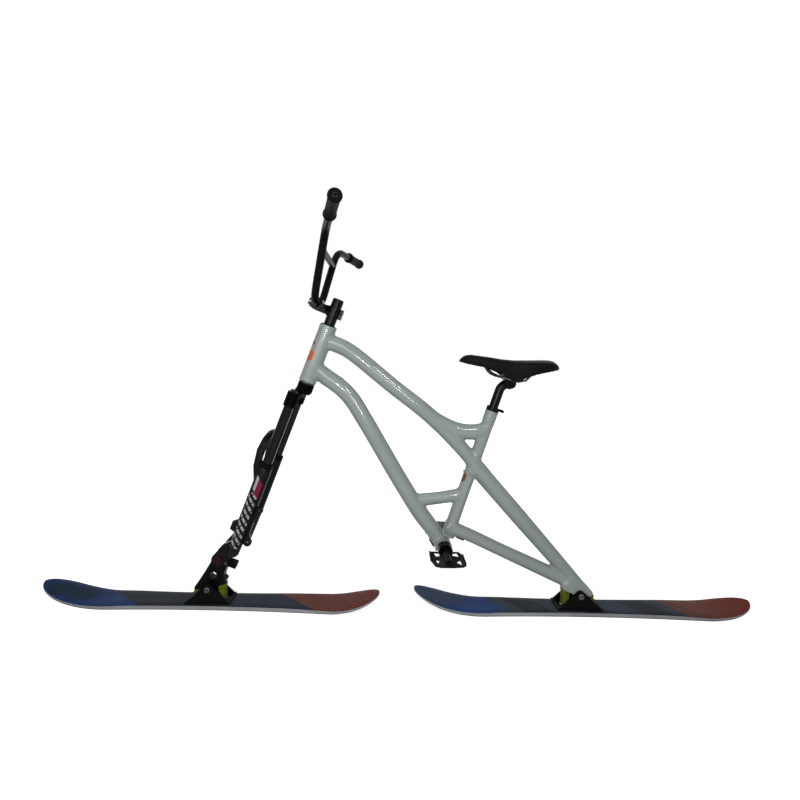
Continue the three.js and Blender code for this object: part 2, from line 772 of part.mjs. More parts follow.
// A band round the front, the outer end and the rear of a pedal, with teeth along the front and the rear
function pedalCage() {
  const deep = pedalOuter - pedalInner;
  const gap = seatGap * 1.5;
  const long = pedalHalfLength * 2;
  const full = cageHalfHeight * 2;
  const at = (share) => pedalInner + deep * share;
  const slab = (fromX, toX, fromShare, toShare, height, z) => block(toX - fromX, at(toShare) - at(fromShare),
    height)
    .translate((fromX + toX) / 2, (at(fromShare) + at(toShare)) / 2, z);
  const band = cutAll(joinAll([sheet(pedalPlan(pedalRimShares, gap + cageThickness), full)]), [
    sheet(pedalPlan(pedalRimShares, gap), full * 2),
    slab(-long, long, -1, cageStartShare, full * 2, 0),
    slab(0, long, -1, cageRearShare, full * 2, 0),
  ]);
  const spare = cageHalfHeight + pedalPlate / 2;
  const trims = [-1, 1].flatMap((way) => [
    slab(-long, 0, cageFrontEndShare, 2, cageHalfHeight * 2, way * spare),
    slab(0, long, cageRearEndShare, 2, cageHalfHeight * 2, way * spare),
  ]);
  const teeth = [];
  for (let i = 0; i < toothCount; i += 1) {
    for (const way of [-1, 1]) {
      const share = (i + 0.5) / toothCount;
      const front = THREE.MathUtils.lerp(cageStartShare, cageFrontEndShare, share);
      const rear = THREE.MathUtils.lerp(cageRearShare, cageRearEndShare, share);
      for (const [x, place] of [[-long / 2, front], [long / 2, rear]]) {
        teeth.push(rod(toothDepth, -long / 4, long / 4, coarseSides).rotateY(Math.PI / 2)
          .translate(x, at(place), way * cageHalfHeight));
      }
    }
  }
  return cutAll(band, [...trims, ...teeth]);
}

function placePedal(geometry, side) {
  return geometry.scale(1, side, 1).translate(bracketShell.x, 0, bracketShell.z);
}

// Fork

function forkCrown() {
  const lead = -forkLead;
  const sleeves = [-1, 1].map((side) => rod(sleeveRadius, sleeveFoot, sleeveTop, fineSides)
    .translate(lead, side * forkHalfWidth, 0));
  const bossFoot = crownTop - crownBossHeight;
  const boss = turned([[0, bossFoot], [crownBossRadius * 0.8, bossFoot],
    [crownBossRadius, bossFoot + crownBossRadius / 3],
    [crownBossRadius, crownTop], [0, crownTop]], fineSides);
  const armRoute = [-1, -0.8, -0.4, 0, 0.4, 0.8, 1].map((share) => new THREE.Vector3(
    lead * (0.55 + 0.45 * Math.abs(share)), share * forkHalfWidth,
    bossFoot + crownBossRadius * 0.4 - Math.abs(share) * crownArmDepth));
  const arm = pipe(armRoute, crownArmDepth / 2, roundSides);
  const steerer = rod(steererRadius, crownTop - cutOverrun, upperSpacerTop - cutOverrun, fineSides);
  let crown = joinAll([...sleeves, boss, arm, steerer]);
  const bores = [-1, 1].map((side) => rod(stanchionRadius + seatGap, sleeveFoot - crownArmDepth,
    sleeveTop + cutOverrun,
    fineSides).translate(lead, side * forkHalfWidth, 0));
  crown = cutAll(crown, [...bores,
    rod(steererRadius - steererWall, bossFoot - crownArmDepth, upperSpacerTop + cutOverrun, roundSides)]);
  addPiece('fork_crown', steerSolid(crown), glossBlack, 0.4, 0.3);
}

function forkUppers() {
  for (const [name, side] of [['left', -1], ['right', 1]]) {
    const tube = ring(stanchionRadius, stanchionRadius - stanchionWall, sleeveTop - stanchionFoot,
      stanchionFoot, fineSides).translate(-forkLead, side * forkHalfWidth, 0);
    addPiece(`${name}_stanchion`, steer(tube), stanchionBronze, 0.8, 0.25);
    const base = sleeveTop + seatGap;
    const knob = turned([
      [0, base], [knobRadius, base], [knobRadius, base + knobHeight * 0.6],
      [knobRadius * 0.8, base + knobHeight], [0, base + knobHeight],
    ], roundSides);
    const flats = [0, 1, 2, 3, 4, 5].map((turn) => rod(knobRadius * 0.16, base - cutOverrun,
      base + knobHeight * 2, coarseSides).translate(knobRadius * 1.02, 0, 0).rotateZ((turn * Math.PI) / 3));
    addPiece(`${name}_fork_knob`, steerSolid(cutAll(joinAll([knob]), flats).translate(
      [-forkLead, side * forkHalfWidth, 0])), satinBlack, 0.5, 0.4);
  }
}

function forkLowers() {
  const legs = [-1, 1].map((side) => turned([
    [0, legFoot], [legFootRadius * 0.7, legFoot], [legFootRadius, legFoot + legFootRadius / 2],
    [legTopRadius, legFoot + legTopRadius * 5], [legTopRadius, legTop - cutOverrun],
    [legTopRadius - smallBevel, legTop], [0, legTop],
  ], fineSides).translate(-forkLead, side * forkHalfWidth, 0));
  const archSide = (side) => archRoute.map(([x, y, z]) => new THREE.Vector3(x, side * y, z));
  const arch = pipe([...archSide(-1), ...archSide(1).reverse()], archRadius, coarseSides);
  const drops = [-1, 1].map((side) => dropout(side));
  const fins = [-1, 1].map((side) => legFin(side));
  let lowers = joinAll([...legs, arch, ...drops, ...fins, brakeMount()]);
  const bores = [-1, 1].map((side) => rod(stanchionRadius + slideGap, legBoreFoot, legTop + cutOverrun,
    fineSides)
    .translate(-forkLead, side * forkHalfWidth, 0));
  const sealSeats = [-1, 1].map((side) => rod(sealRadius + seatGap, legTop + seatGap, sealTop + legTopRadius,
    fineSides).translate(-forkLead, side * forkHalfWidth, 0));
  lowers = cutAll(lowers, [...bores, ...sealSeats,
    crossRod(-axleLead, axleDrop, throughAxleRadius + seatGap, -legTopRadius * 5, legTopRadius * 5,
      roundSides),
    crossRod(brakeTabUpper.x, brakeTabUpper.z, brakeHoleRadius, -legTopRadius * 5, 0, coarseSides),
    crossRod(brakeTabLower.x, brakeTabLower.z, brakeHoleRadius, -legTopRadius * 5, 0, coarseSides),
  ]);
  addPiece('fork_lowers', steerSolid(lowers), glossBlack, 0.2, 0.25);
}

// A flat eye at the foot of a fork leg, with the axle hole ahead of the leg
function dropout(side) {
  const eye = arcPoints(-axleLead, axleDrop, dropoutRadius, 150, 350, 14);
  const rear = -forkLead + legFootRadius * 0.7;
  const front = -forkLead - legFootRadius;
  const outline = [[front, legFoot + legFootRadius * 2.2],
    [front - legFootRadius, legFoot + legFootRadius * 1.3],
    ...eye, [rear, legFoot + legFootRadius * 0.4], [rear, legFoot + legFootRadius * 2.2]];
  const near = side < 0 ? -dropoutInner - dropoutThickness : dropoutInner;
  return plate(outline, near, near + dropoutThickness);
}

// A short fin on the front of each leg, above the dropout
function legFin(side) {
  const root = -forkLead - legFootRadius / 2;
  const reach = -forkLead - legTopRadius - finReach;
  const outline = [[root, finTop + finReach * 1.5], [reach, finTop], [reach, finTop - finHeight],
    [root, finTop - finHeight - finReach * 0.7]];
  const middle = side * forkHalfWidth;
  return plate(outline, middle - tabThickness / 2, middle + tabThickness / 2);
}

// The disc brake tabs behind the left leg, which carry no brake on this bike
function brakeMount() {
  const upper = arcPoints(brakeTabUpper.x, brakeTabUpper.z, brakeTabRadius, 120, -60, 8);
  const lower = arcPoints(brakeTabLower.x, brakeTabLower.z, brakeTabRadius * 1.4, 60, -130, 8);
  const inside = -forkLead;
  const outline = [[inside, brakeTabUpper.z + brakeTabRadius], ...upper,
    [brakeTabLower.x - brakeTabRadius * 0.4, brakeTabUpper.z - brakeTabRadius * 4.5],
    [brakeTabLower.x - brakeTabRadius * 0.4, brakeTabLower.z + brakeTabRadius * 3],
    ...lower, [inside, brakeTabLower.z - brakeTabRadius]];
  return plate(outline.reverse(), -forkHalfWidth - tabThickness / 2, -forkHalfWidth + tabThickness / 2);
}

function forkSmallParts() {
  for (const [name, side] of [['left', -1], ['right', 1]]) {
    const seal = ring(sealRadius, stanchionRadius + slideGap, sealHeight, sealTop - sealHeight, fineSides)
      .translate(-forkLead, side * forkHalfWidth, 0);
    addPiece(`${name}_fork_seal`, steer(seal), rubberBlack, 0, 0.6);
  }
  const outside = dropoutInner + dropoutThickness;
  const head = outside + seatGap;
  const cap = axleHeadHeight;
  const axle = turned([
    [0, -head - cap / 2], [throughAxleRadius * 0.45, -head - cap / 2],
    [throughAxleRadius * 0.45, -head - cap],
    [throughAxleRadius, -head - cap], [throughAxleRadius * axleHeadShare, -head - cap / 2],
    [throughAxleRadius * axleHeadShare, -head], [throughAxleRadius, -head],
    [throughAxleRadius, outside - cap], [throughAxleRadius * 0.6, outside], [0, outside],
  ], roundSides);
  addPiece('through_axle', steer(axle.rotateX(-Math.PI / 2).translate(-axleLead, 0, axleDrop)), steelGrey,
    0.8, 0.35);
  const end = turned([[0, head], [throughAxleRadius * axleHeadShare, head],
    [throughAxleRadius * axleHeadShare, head + cap / 2],
    [throughAxleRadius, head + cap], [throughAxleRadius * 0.45, head + cap],
    [throughAxleRadius * 0.45, head + cap / 2], [0, head + cap / 2]], roundSides).rotateX(-Math.PI / 2);
  addPiece('axle_nut', steer(end.translate(-axleLead, 0, axleDrop)), anodisedRed, 0.7, 0.3);
}

// Box-shaped mount that hangs from the through axle and ends in the front ski's pivot
function frontMount() {
  const axle = axlePoint();
  const pivot = frontPivot;
  const reach = mountHubRadius * 1.25;
  const place = ([acrossShare, upShare]) => [pivot.x + barrelRadius * acrossShare,
    pivot.z + barrelRadius * upShare];
  const outline = [
    ...arcPoints(axle.x, axle.z, reach, 30, 160, 8),
    ...mountFrontShares.map(place),
    ...arcPoints(pivot.x, pivot.z, barrelRadius, 200, 340, 8),
    ...mountRearShares.map(place),
  ];
  const side = plate(outline.reverse(), -mountBodyHalfWidth, mountBodyHalfWidth);
  const width = mountHalfWidth - seatGap;
  const barrel = crossRod(pivot.x, pivot.z, barrelRadius, -width, width, fineSides);
  const hub = crossRod(axle.x, axle.z, mountHubRadius, -mountHubHalfWidth, mountHubHalfWidth, fineSides);
  const [stopAcross, stopUp] = mountStopShares;
  const stop = block(mountStopLength, mountStopHalfWidth * 2, mountStopHeight)
    .rotateY(lean).translate(axle.x + mountStopLength * stopAcross, 0, axle.z + mountStopHeight * stopUp);
  let mount = joinAll([side, barrel, hub, stop]);
  const boltSpot = stopBoltSpot();
  const [windowX, windowZ] = place(mountWindowShares);
  mount = cutAll(mount, [
    crossRod(windowX, windowZ, mountWindowRadius, -mountHalfWidth * 2, mountHalfWidth * 2, roundSides),
    crossRod(axle.x, axle.z, throughAxleRadius + slideGap, -mountHubHalfWidth - cutOverrun,
      mountHubHalfWidth + cutOverrun, roundSides),
    crossRod(pivot.x, pivot.z, pivotBoltRadius + seatGap, -mountHalfWidth - cutOverrun,
      mountHalfWidth + cutOverrun, roundSides),
    crossRod(boltSpot.x, boltSpot.z, boltRadius + seatGap, -mountHalfWidth * 2, mountHalfWidth * 2,
      coarseSides),
  ]);
  addPiece('front_ski_mount', mount, satinBlack, 0.5, 0.4);
  const bolt = crossBolt(mountBodyHalfWidth);
  addPiece('mount_clamp_bolt', bolt.translate(boltSpot.x, 0, boltSpot.z), steelGrey, 0.9, 0.3);
}

function axlePoint() {
  const spot = new THREE.Vector3(-axleLead, 0, axleDrop);
  spot.applyAxisAngle(new THREE.Vector3(0, 1, 0), lean);
  return { x: spot.x + headFoot.x, z: spot.z + headFoot.z };
}

function stopBoltSpot() {
  const axle = axlePoint();
  const [across, up] = mountBoltShares;
  return { x: axle.x + mountHubRadius * across, z: axle.z + mountHubRadius * up };
}

// Headset parts, stem and what clamps them, on the steering axis

function headsetParts() {
  addPiece('crown_race', steer(ring(coverRadius, steererRadius + seatGap, coverHeight,
    -coverHeight - seatGap,
    fineSides)), satinBlack, 0.5, 0.4);
  const coverBase = headLength + seatGap;
  addPiece('headset_cover', steer(turned([
    [steererRadius + seatGap, coverBase], [coverRadius, coverBase],
    [coverRadius, coverBase + coverHeight * 0.4],
    [spacerRadius, coverBase + coverHeight], [steererRadius + seatGap, coverBase + coverHeight],
    [steererRadius + seatGap, coverBase],
  ], fineSides)), satinBlack, 0.5, 0.4);
  const spacerBase = coverBase + coverHeight + seatGap;
  addPiece('lower_spacer', steer(ring(spacerRadius, steererRadius + seatGap, lowerSpacerTop - spacerBase,
    spacerBase, fineSides)), satinBlack, 0.5, 0.35);
  const upperBase = stemTop + seatGap;
  addPiece('upper_spacer', steer(ring(spacerRadius, steererRadius + seatGap, upperSpacerTop - upperBase,
    upperBase, fineSides)), satinBlack, 0.5, 0.35);
  const capBase = upperSpacerTop + seatGap;
  const plugEnd = upperSpacerTop - plugDepth;
  addPiece('top_cap', steer(turned([
    [0, plugEnd], [boltRadius, plugEnd], [boltRadius, capBase], [spacerRadius, capBase],
    [spacerRadius, capBase + capHeight * 0.6], [spacerRadius * 0.85, capBase + capHeight],
    [boltHeadRadius, capBase + capHeight], [boltHeadRadius, capBase + capHeight * 0.5],
    [0, capBase + capHeight * 0.5],
  ], fineSides)), satinBlack, 0.5, 0.35);
}

function stem() {
  const barHeight = stemTop - stemRise + seatGap;
  const barrel = rod(stemRadius, stemFoot, stemTop, fineSides);
  const clamp = crossRod(-stemReach, barHeight, stemClampRadius, -stemHalfWidth, stemHalfWidth, fineSides);
  const neckFoot = stemFoot + cutOverrun;
  const neck = plate([
    [0, stemTop], [-stemReach + stemClampRadius * 0.6, barHeight + stemClampRadius * 0.3],
    [-stemReach, barHeight], [-stemReach, barHeight - stemClampRadius * 0.98], [0, neckFoot],
  ], -stemNeckHalfWidth, stemNeckHalfWidth);
  const jawLength = stemClampRadius + cutOverrun * 2;
  const jaw = block(jawLength, stemHalfWidth * 2, stemClampRadius).translate(
    -stemReach - jawLength / 2, 0, barHeight);
  const lugReach = stemRadius + stemLugLength * 0.5;
  const lug = block(lugReach, stemLugHalfWidth * 2, stemTop - stemFoot).translate(lugReach / 2, 0,
    (stemTop + stemFoot) / 2);
  let body = joinAll([barrel, clamp, neck, jaw, lug]);
  const boltHeights = [0.27, 0.73].map((share) => stemFoot + (stemTop - stemFoot) * share);
  const lugBolt = stemRadius + stemLugLength * 0.18;
  const jawBolt = -stemReach - barRadius - boltRadius * 2.4;
  body = cutAll(body, [
    rod(steererRadius + seatGap, stemFoot - cutOverrun, stemTop + cutOverrun, fineSides),
    crossRod(-stemReach, barHeight, barRadius + seatGap, -stemHalfWidth * 2, stemHalfWidth * 2, fineSides),
    block(stemClampRadius * 2, stemHalfWidth * 3, stemSlot)
      .translate(-stemReach - stemClampRadius, 0, barHeight),
    block(stemRadius * 2, stemSlot, stemTop).translate(stemRadius * 1.5, 0, stemFoot),
    ...boltHeights.map((height) => rod(boltRadius + seatGap, -stemRadius * 2, stemRadius * 2, coarseSides)
      .rotateX(Math.PI / 2).translate(lugBolt, 0, height)),
    rod(boltRadius + seatGap, barHeight - stemClampRadius * 2, barHeight + stemClampRadius * 2, coarseSides)
      .translate(jawBolt, 0, 0),
    ...[-1, 1].map((side) => rod(boltHeadRadius + seatGap, stemClampRadius / 2, stemClampRadius * 2,
      coarseSides)
      .scale(1, 1, side).translate(jawBolt, 0, barHeight)),
  ]);
  addPiece('stem', steerSolid(body), satinBlack, 0.5, 0.35);
  for (const [index, name] of ['lower', 'upper'].entries()) {
    addPiece(`${name}_stem_bolt`, steer(crossBolt(stemLugHalfWidth)
      .translate(lugBolt, 0, boltHeights[index])),
      steelGrey, 0.9, 0.3);
  }
  addPiece('bar_clamp_bolt', steer(crossBolt(stemClampRadius / 2).rotateX(Math.PI / 2)
    .translate(jawBolt, 0, barHeight)), steelGrey, 0.9, 0.3);
}

// Handlebar: two rises, swept grips and a cross tube

function barCentre() {
  const spot = new THREE.Vector3(-stemReach, 0, stemTop - stemRise + seatGap);
  spot.applyAxisAngle(new THREE.Vector3(0, 1, 0), lean);
  return new THREE.Vector3(spot.x + headFoot.x, 0, spot.z + headFoot.z);
}

function barCorners(side) {
  const centre = barCentre();
  return [
    centre.clone().add(new THREE.Vector3(0, side * barClampHalf, 0)),
    centre.clone().add(new THREE.Vector3(barTop.x, side * barTop.y, barTop.z)),
    centre.clone().add(new THREE.Vector3(barEnd.x, side * barEnd.y, barEnd.z)),
  ];
}

function handlebar() {
  const left = barCorners(-1);
  const right = barCorners(1);
  const corners = [left[2], left[1], left[0], right[0], right[1], right[2]];
  const bends = [barHighBend, barLowBend, barLowBend, barHighBend];
  const main = pipe(bentPath(corners, bends, bendSteps), barRadius, roundSides);
  const crossEnds = [left, right].map((points) => points[0].clone().lerp(points[1], crossbarShare));
  const cross = pipe(crossEnds, crossbarRadius, roundSides);
  let bar = joinAll([main, cross]);
  const hollows = [left, right].map((points) => {
    const inward = points[1].clone().sub(points[2]).normalize().multiplyScalar(gripLength).add(points[2]);
    const outward = points[2].clone().sub(points[1]).normalize().multiplyScalar(cutOverrun).add(points[2]);
    return pipe([outward, inward], barRadius - barWall, roundSides);
  });
  bar = cutAll(bar, hollows);
  addPiece('handlebar', bar, satinBlack, 0.4, 0.4);
}

// A shape turned about the grip's own axis, with its zero at the end of the bar
function atBarEnd(geometry, side) {
  const points = barCorners(side);
  const ahead = points[2].clone().sub(points[1]).normalize();
  const turn = new THREE.Quaternion().setFromUnitVectors(new THREE.Vector3(0, 0, 1), ahead);
  geometry.applyQuaternion(turn);
  return geometry.translate(points[2].x, points[2].y, points[2].z);
}

function grips() {
  const inner = barRadius + seatGap;
  const end = seatGap;
  const face = end + gripFlange;
  for (const [name, side] of [['left', -1], ['right', 1]]) {
    const grip = turned([
      [inner, -gripLength], [gripFlangeRadius, -gripLength], [gripFlangeRadius, -gripLength + gripFlange],
      [gripRadius, -gripLength + gripFlange * 2], [gripRadius, -gripFlange * 2],
      [gripEndRadius, -gripFlange],
      [gripEndRadius, end], [gripEndRadius - gripEndRounding, face], [plugRadius - plugStep, face],
      [plugRadius - plugStep, end], [inner, end], [inner, -gripLength],
    ], fineSides);
    addPiece(`${name}_grip`, atBarEnd(grip, side), rubberBlack, 0, 0.75);
    const plugTop = face - seatGap;
    const plug = turned([
      [0, -plugDepth], [barRadius - barWall - seatGap * 3, -plugDepth],
      [barRadius - barWall - seatGap * 3, -seatGap],
      [plugRadius - plugStep - seatGap * 2, -seatGap], [plugRadius - plugStep - seatGap * 2, plugTop],
      [0, plugTop],
    ], roundSides);
    addPiece(`${name}_bar_plug`, atBarEnd(plug, side), steelGrey, 0.7, 0.3);
  }
}

// Seat post, clamp and rails

function seatPost() {
  const start = alongSeat(-postInsert);
  const bend = alongSeat(postBendRise);
  const corners = [start, bend, headCentre].map(({ x, z }) => new THREE.Vector3(x, 0, z));
  const tube = pipe(bentPath(corners, [postBendRound], bendSteps), seatPostRadius, fineSides);
  const railHeight = railAt(headCentre.x);
  const cradle = plate([
    ...arcPoints(headCentre.x, headCentre.z, headCradleRadius, 160, 370, 12),
    [headCentre.x + clampHalfLength, railAt(headCentre.x + clampHalfLength) - railRadius - seatGap],
    [headCentre.x - clampHalfLength, railAt(headCentre.x - clampHalfLength) - railRadius - seatGap],
  ], -headHalfWidth, headHalfWidth);
  let post = joinAll([tube, cradle]);
  const hollowTop = alongSeat(postBendRise * 0.5);
  const below = alongSeat(-postInsert - cutOverrun);
  post = cutAll(post, [
    pipe([new THREE.Vector3(below.x, 0, below.z), new THREE.Vector3(hollowTop.x, 0, hollowTop.z)],
      seatPostRadius - postWall, roundSides),
    rod(boltRadius + seatGap, headCentre.z - headCradleRadius * 2, railHeight + railRadius, coarseSides)
      .translate(headCentre.x, 0, 0),
    rod(boltHeadRadius + seatGap, headCentre.z - headCradleRadius * 2, headCentre.z - headCradleRadius,
      coarseSides)
      .translate(headCentre.x, 0, 0),
  ]);
  addPiece('seat_post', post, glossBlack, 0.5, 0.3);
}

function railAt(x) {
  return lookUp(railLine, x);
}

// Two upper clamp ears joined over the rails, held by one bolt through the cradle
function saddleClamp() {
  const slope = (x) => railAt(x) + railRadius + seatGap;
  const left = headCentre.x - clampHalfLength;
  const right = headCentre.x + clampHalfLength;
  const upper = plate([
    [left, slope(left)], [right, slope(right)], [right, slope(right) + clampPlate],
    [left, slope(left) + clampPlate],
  ], -clampHalfWidth, clampHalfWidth);
  const bored = cutAll(joinAll([upper]), [
    rod(boltRadius + seatGap, headCentre.z - headCradleRadius, headCentre.z + headCradleRadius * 4,
      coarseSides)
      .translate(headCentre.x, 0, 0),
  ]);
  addPiece('saddle_clamp', bored, satinBlack, 0.5, 0.4);
  const foot = headCentre.z - headCradleRadius - seatGap;
  const top = slope(left) + clampPlate + seatGap;
  addPiece('saddle_clamp_bolt', turned([
    [0, foot - boltHeadHeight / 2], [boltHeadRadius, foot - boltHeadHeight / 2], [boltHeadRadius, foot],
    [boltRadius, foot], [boltRadius, top], [boltHeadRadius, top], [boltHeadRadius, top + boltHeadHeight / 2],
    [0, top + boltHeadHeight / 2],
  ], coarseSides).translate(headCentre.x, 0, 0), steelGrey, 0.9, 0.3);
}

function saddleRails() {
  addPiece('saddle_rails', pipe(railPath(), railRadius, wireSides), steelGrey, 0.9, 0.3);
}

function railPath() {
  const side = railLine.map(([x, z], i) => new THREE.Vector3(x, railOffset * railSpreadShares[i], z));
  const nose = new THREE.Vector3(railLine[0][0] - railOffset * 0.3, 0, railLine[0][1] + railRadius / 2);
  const other = side.map((point) => new THREE.Vector3(point.x, -point.y, point.z)).reverse();
  return new THREE.CatmullRomCurve3([...other, nose, ...side], false, 'centripetal').getPoints(wireSteps);
}

// Saddle

function saddleSection(share) {
  const half = lookUp(saddleHalfWidths, share);
  const top = saddleNoseHeight(share);
  const skirt = Math.min(lookUp(saddleSkirtLine, share), top - saddleEndHeight);
  const x = saddleNose + saddleLength * share;
  return { half, top, skirt, x };
}

function saddleNoseHeight(share) {
  return lookUp(saddleTopLine, share);
}

// The padded cushion: a crowned top with drawn-in sides, hollow underneath
function saddleCushion() {
  const acrossShares = [0, 0.22, 0.44, 0.64, 0.82, 0.94, 1];
  const dropShares = [0, 0.03, 0.13, 0.32, 0.62, 1, 1.5];
  const rings = [];
  for (let i = 0; i <= saddleStations; i += 1) {
    const share = 0.5 - 0.5 * Math.cos((Math.PI * i) / saddleStations);
    const { half, top, skirt, x } = saddleSection(share);
    const drop = Math.min(saddleEdgeDrop, (top - skirt) * 0.5);
    const outer = acrossShares.map((across, k) => [half * across, top - drop * dropShares[k]]);
    outer.push([half * 0.985, (top - drop * 1.5) * 0.5 + skirt * 0.5]);
    outer.push([half * 0.93, skirt]);
    const wall = Math.min(saddleSkirtWall, half * 0.35);
    const padding = Math.min(saddlePadding, (top - skirt) * 0.55);
    const inner = [[half * 0.93 - wall, skirt]];
    for (let k = acrossShares.length - 1; k >= 0; k -= 1) {
      inner.push([Math.max(half * 0.985 - wall, saddleInnerEnd) * acrossShares[k],
        Math.max(top - drop * dropShares[k] - padding,
        skirt + (top - skirt) * 0.15)]);
    }
    const right = [...outer, ...inner.slice(0, -1)];
    const loop = [];
    for (const [y, z] of outer.slice().reverse()) {
      loop.push(new THREE.Vector3(x, -y, z));
    }
    for (const [y, z] of outer.slice(1)) {
      loop.push(new THREE.Vector3(x, y, z));
    }
    for (const [y, z] of inner) {
      loop.push(new THREE.Vector3(x, y, z));
    }
    for (const [y, z] of inner.slice(0, -1).reverse()) {
      loop.push(new THREE.Vector3(x, -y, z));
    }
    rings.push(right.length > 0 ? loop : []);
  }
  addPiece('saddle_cushion', skin(rings), satinBlack, 0, 0.7);
}

// The hard base under the padding, with four sockets for the rails
function saddleBase() {
  const rings = [];
  const steps = saddleStations - 4;
  for (let i = 0; i <= steps; i += 1) {
    const share = THREE.MathUtils.lerp(shellStartShare, shellEndShare, i / steps);
    const { half, top, skirt, x } = saddleSection(share);
    const padding = Math.min(saddlePadding, (top - skirt) * 0.55);
    const width = half * 0.985 - saddleSkirtWall - seatGap * 4;
    const drop = Math.min(saddleEdgeDrop, (top - skirt) * 0.5);
    const line = [0, 0.44, 0.82].map((across, k) => [width * across, top - padding - seatGap * 4
      - drop * [0, 0.2, 0.75][k]]);
    const loop = [];
    for (const [y, z] of line.slice().reverse()) {
      loop.push(new THREE.Vector3(x, -y, z));
    }
    for (const [y, z] of line.slice(1)) {
      loop.push(new THREE.Vector3(x, y, z));
    }
    for (const [y, z] of line.slice().reverse()) {
      loop.push(new THREE.Vector3(x, y, z - shellWall));
    }
    for (const [y, z] of line.slice(1)) {
      loop.push(new THREE.Vector3(x, -y, z - shellWall));
    }
    rings.push(loop);
  }
  const [noseX, noseZ] = railLine[0];
  const [tailX, tailZ] = railLine[railLine.length - 1];
  const lift = railSocketHeight / 7;
  const sockets = [
    block(railSocketLength, railOffset, railSocketHeight)
      .translate(noseX - railSocketLength / 4, 0, noseZ + lift),
    ...[-1, 1].map((side) => block(railSocketLength, railSocketLength, railSocketHeight)
      .translate(tailX, side * railOffset, tailZ + lift)),
  ];
  const base = cutAll(joinAll([skin(rings), ...sockets]),
    [pipe(railPath(), railRadius + seatGap, wireSides)]);
  addPiece('saddle_base', base, satinBlack, 0, 0.6);
}

// Skis and what carries them

function skiSection(share, tailRise) {
  const fromEnd = Math.min(share, 1 - share) * skiLength;
  const fromMiddle = Math.abs(share - 0.5) * 2;
  const sidecut = skiWaist / 2 + ((skiShovel - skiWaist) / 2) * Math.min((fromMiddle / 0.74) ** 2, 1);
  const round = fromEnd < skiTipRound ? Math.sqrt(1 - (1 - fromEnd / skiTipRound) ** 2) : 1;
  const atTail = share > 0.5;
  const rise = atTail ? tailRise : skiTipRise;
  const run = atTail ? skiTailRun : skiTipRun;
  const lift = fromEnd < run ? rise * (1 - fromEnd / run) ** 2 : 0;
  const thin = Math.min(fromEnd / (skiTipRun * 1.2), 1);
  const thickness = THREE.MathUtils.lerp(skiTipThickness, skiThickness, thin);
  return { half: Math.max(sidecut * round, skiEndHalf), lift, thickness };
}

function ski(name, middle) {
  const tailRise = middle < 0 ? skiTailRises.front : skiTailRises.rear;
  const rings = [];
  for (let i = 0; i <= skiStations; i += 1) {
    const share = 0.5 - 0.5 * Math.cos((Math.PI * i) / skiStations);
    const { half, lift, thickness } = skiSection(share, tailRise);
    const x = middle + (share - 0.5) * skiLength;
    const edge = Math.min(half * 0.5, skiEdge);
    rings.push([
      [half - edge, lift], [half, lift + edge], [half - edge, lift + thickness],
      [0, lift + thickness],
      [-half + edge, lift + thickness], [-half, lift + edge], [-half + edge, lift], [0, lift],
    ].map(([y, z]) => new THREE.Vector3(x, y, z)));
  }
  const holes = screwSpots(middle).map(([x, y]) => rod(screwRadius + seatGap, skiThickness - screwDepth,
    skiThickness * 2, coarseSides).translate(x, y, 0));
  addPiece(name, cutAll(joinAll([skin(rings)]), holes), name.startsWith('front') ? deckBlue : deckRed, 0.1,
    0.4);
}

function pivotOf(middle) {
  return middle < 0 ? frontPivot : rearPivot;
}

function screwSpots(middle) {
  const { x } = pivotOf(middle);
  return [[x - screwSpread, 0], [x + screwSpread, 0]];
}

function skiBracket(name, middle) {
  const pivot = pivotOf(middle);
  const base = skiThickness + bracketLift;
  const top = base + bracketBase;
  const half = bracketLength / 2;
  const floor = block(bracketLength, bracketWidth, bracketBase)
    .translate(pivot.x, 0, base + bracketBase / 2);
  const earStart = barrelHalfWidth + seatGap;
  const ears = [-1, 1].map((side) => {
    const outline = [[pivot.x - half * earFootShare, top - seatGap],
      [pivot.x + half * earFootShare, top - seatGap],
      ...arcPoints(pivot.x, pivot.z, earTopRadius, 40, 140, 8)];
    const from = side < 0 ? -earStart - earThickness : earStart;
    return plate(outline.reverse(), from, from + earThickness);
  });
  let shape = joinAll([floor, ...ears]);
  shape = cutAll(shape, [
    crossRod(pivot.x, pivot.z, pivotBoltRadius + seatGap, -bracketWidth, bracketWidth, roundSides),
    ...screwSpots(middle).map(([x, y]) => rod(screwRadius + seatGap, base - cutOverrun, top + cutOverrun,
      coarseSides).translate(x, y, 0)),
  ]);
  addPiece(`${name}_bracket`, shape, satinBlack, 0.4, 0.45);
}

function pivotBolt(name, pivot) {
  const face = barrelHalfWidth + earThickness + seatGap * 2;
  const deep = pivotHeadHeight * 0.7;
  const bolt = turned([
    [0, -face - pivotHeadHeight + deep], [pivotHeadSocket, -face - pivotHeadHeight + deep],
    [pivotHeadSocket, -face - pivotHeadHeight], [pivotHeadRadius * 0.85, -face - pivotHeadHeight],
    [pivotHeadRadius, -face - pivotHeadHeight + smallBevel], [pivotHeadRadius, -face],
    [pivotBoltRadius, -face], [pivotBoltRadius, face], [pivotHeadRadius, face],
    [pivotHeadRadius, face + pivotHeadHeight], [pivotBoltRadius, face + pivotHeadHeight],
    [0, face + pivotHeadHeight],
  ], roundSides);
  addPiece(`${name}_pivot_bolt`, bolt.rotateX(-Math.PI / 2).translate(pivot.x, 0, pivot.z), steelGrey, 0.9,
    0.3);
}

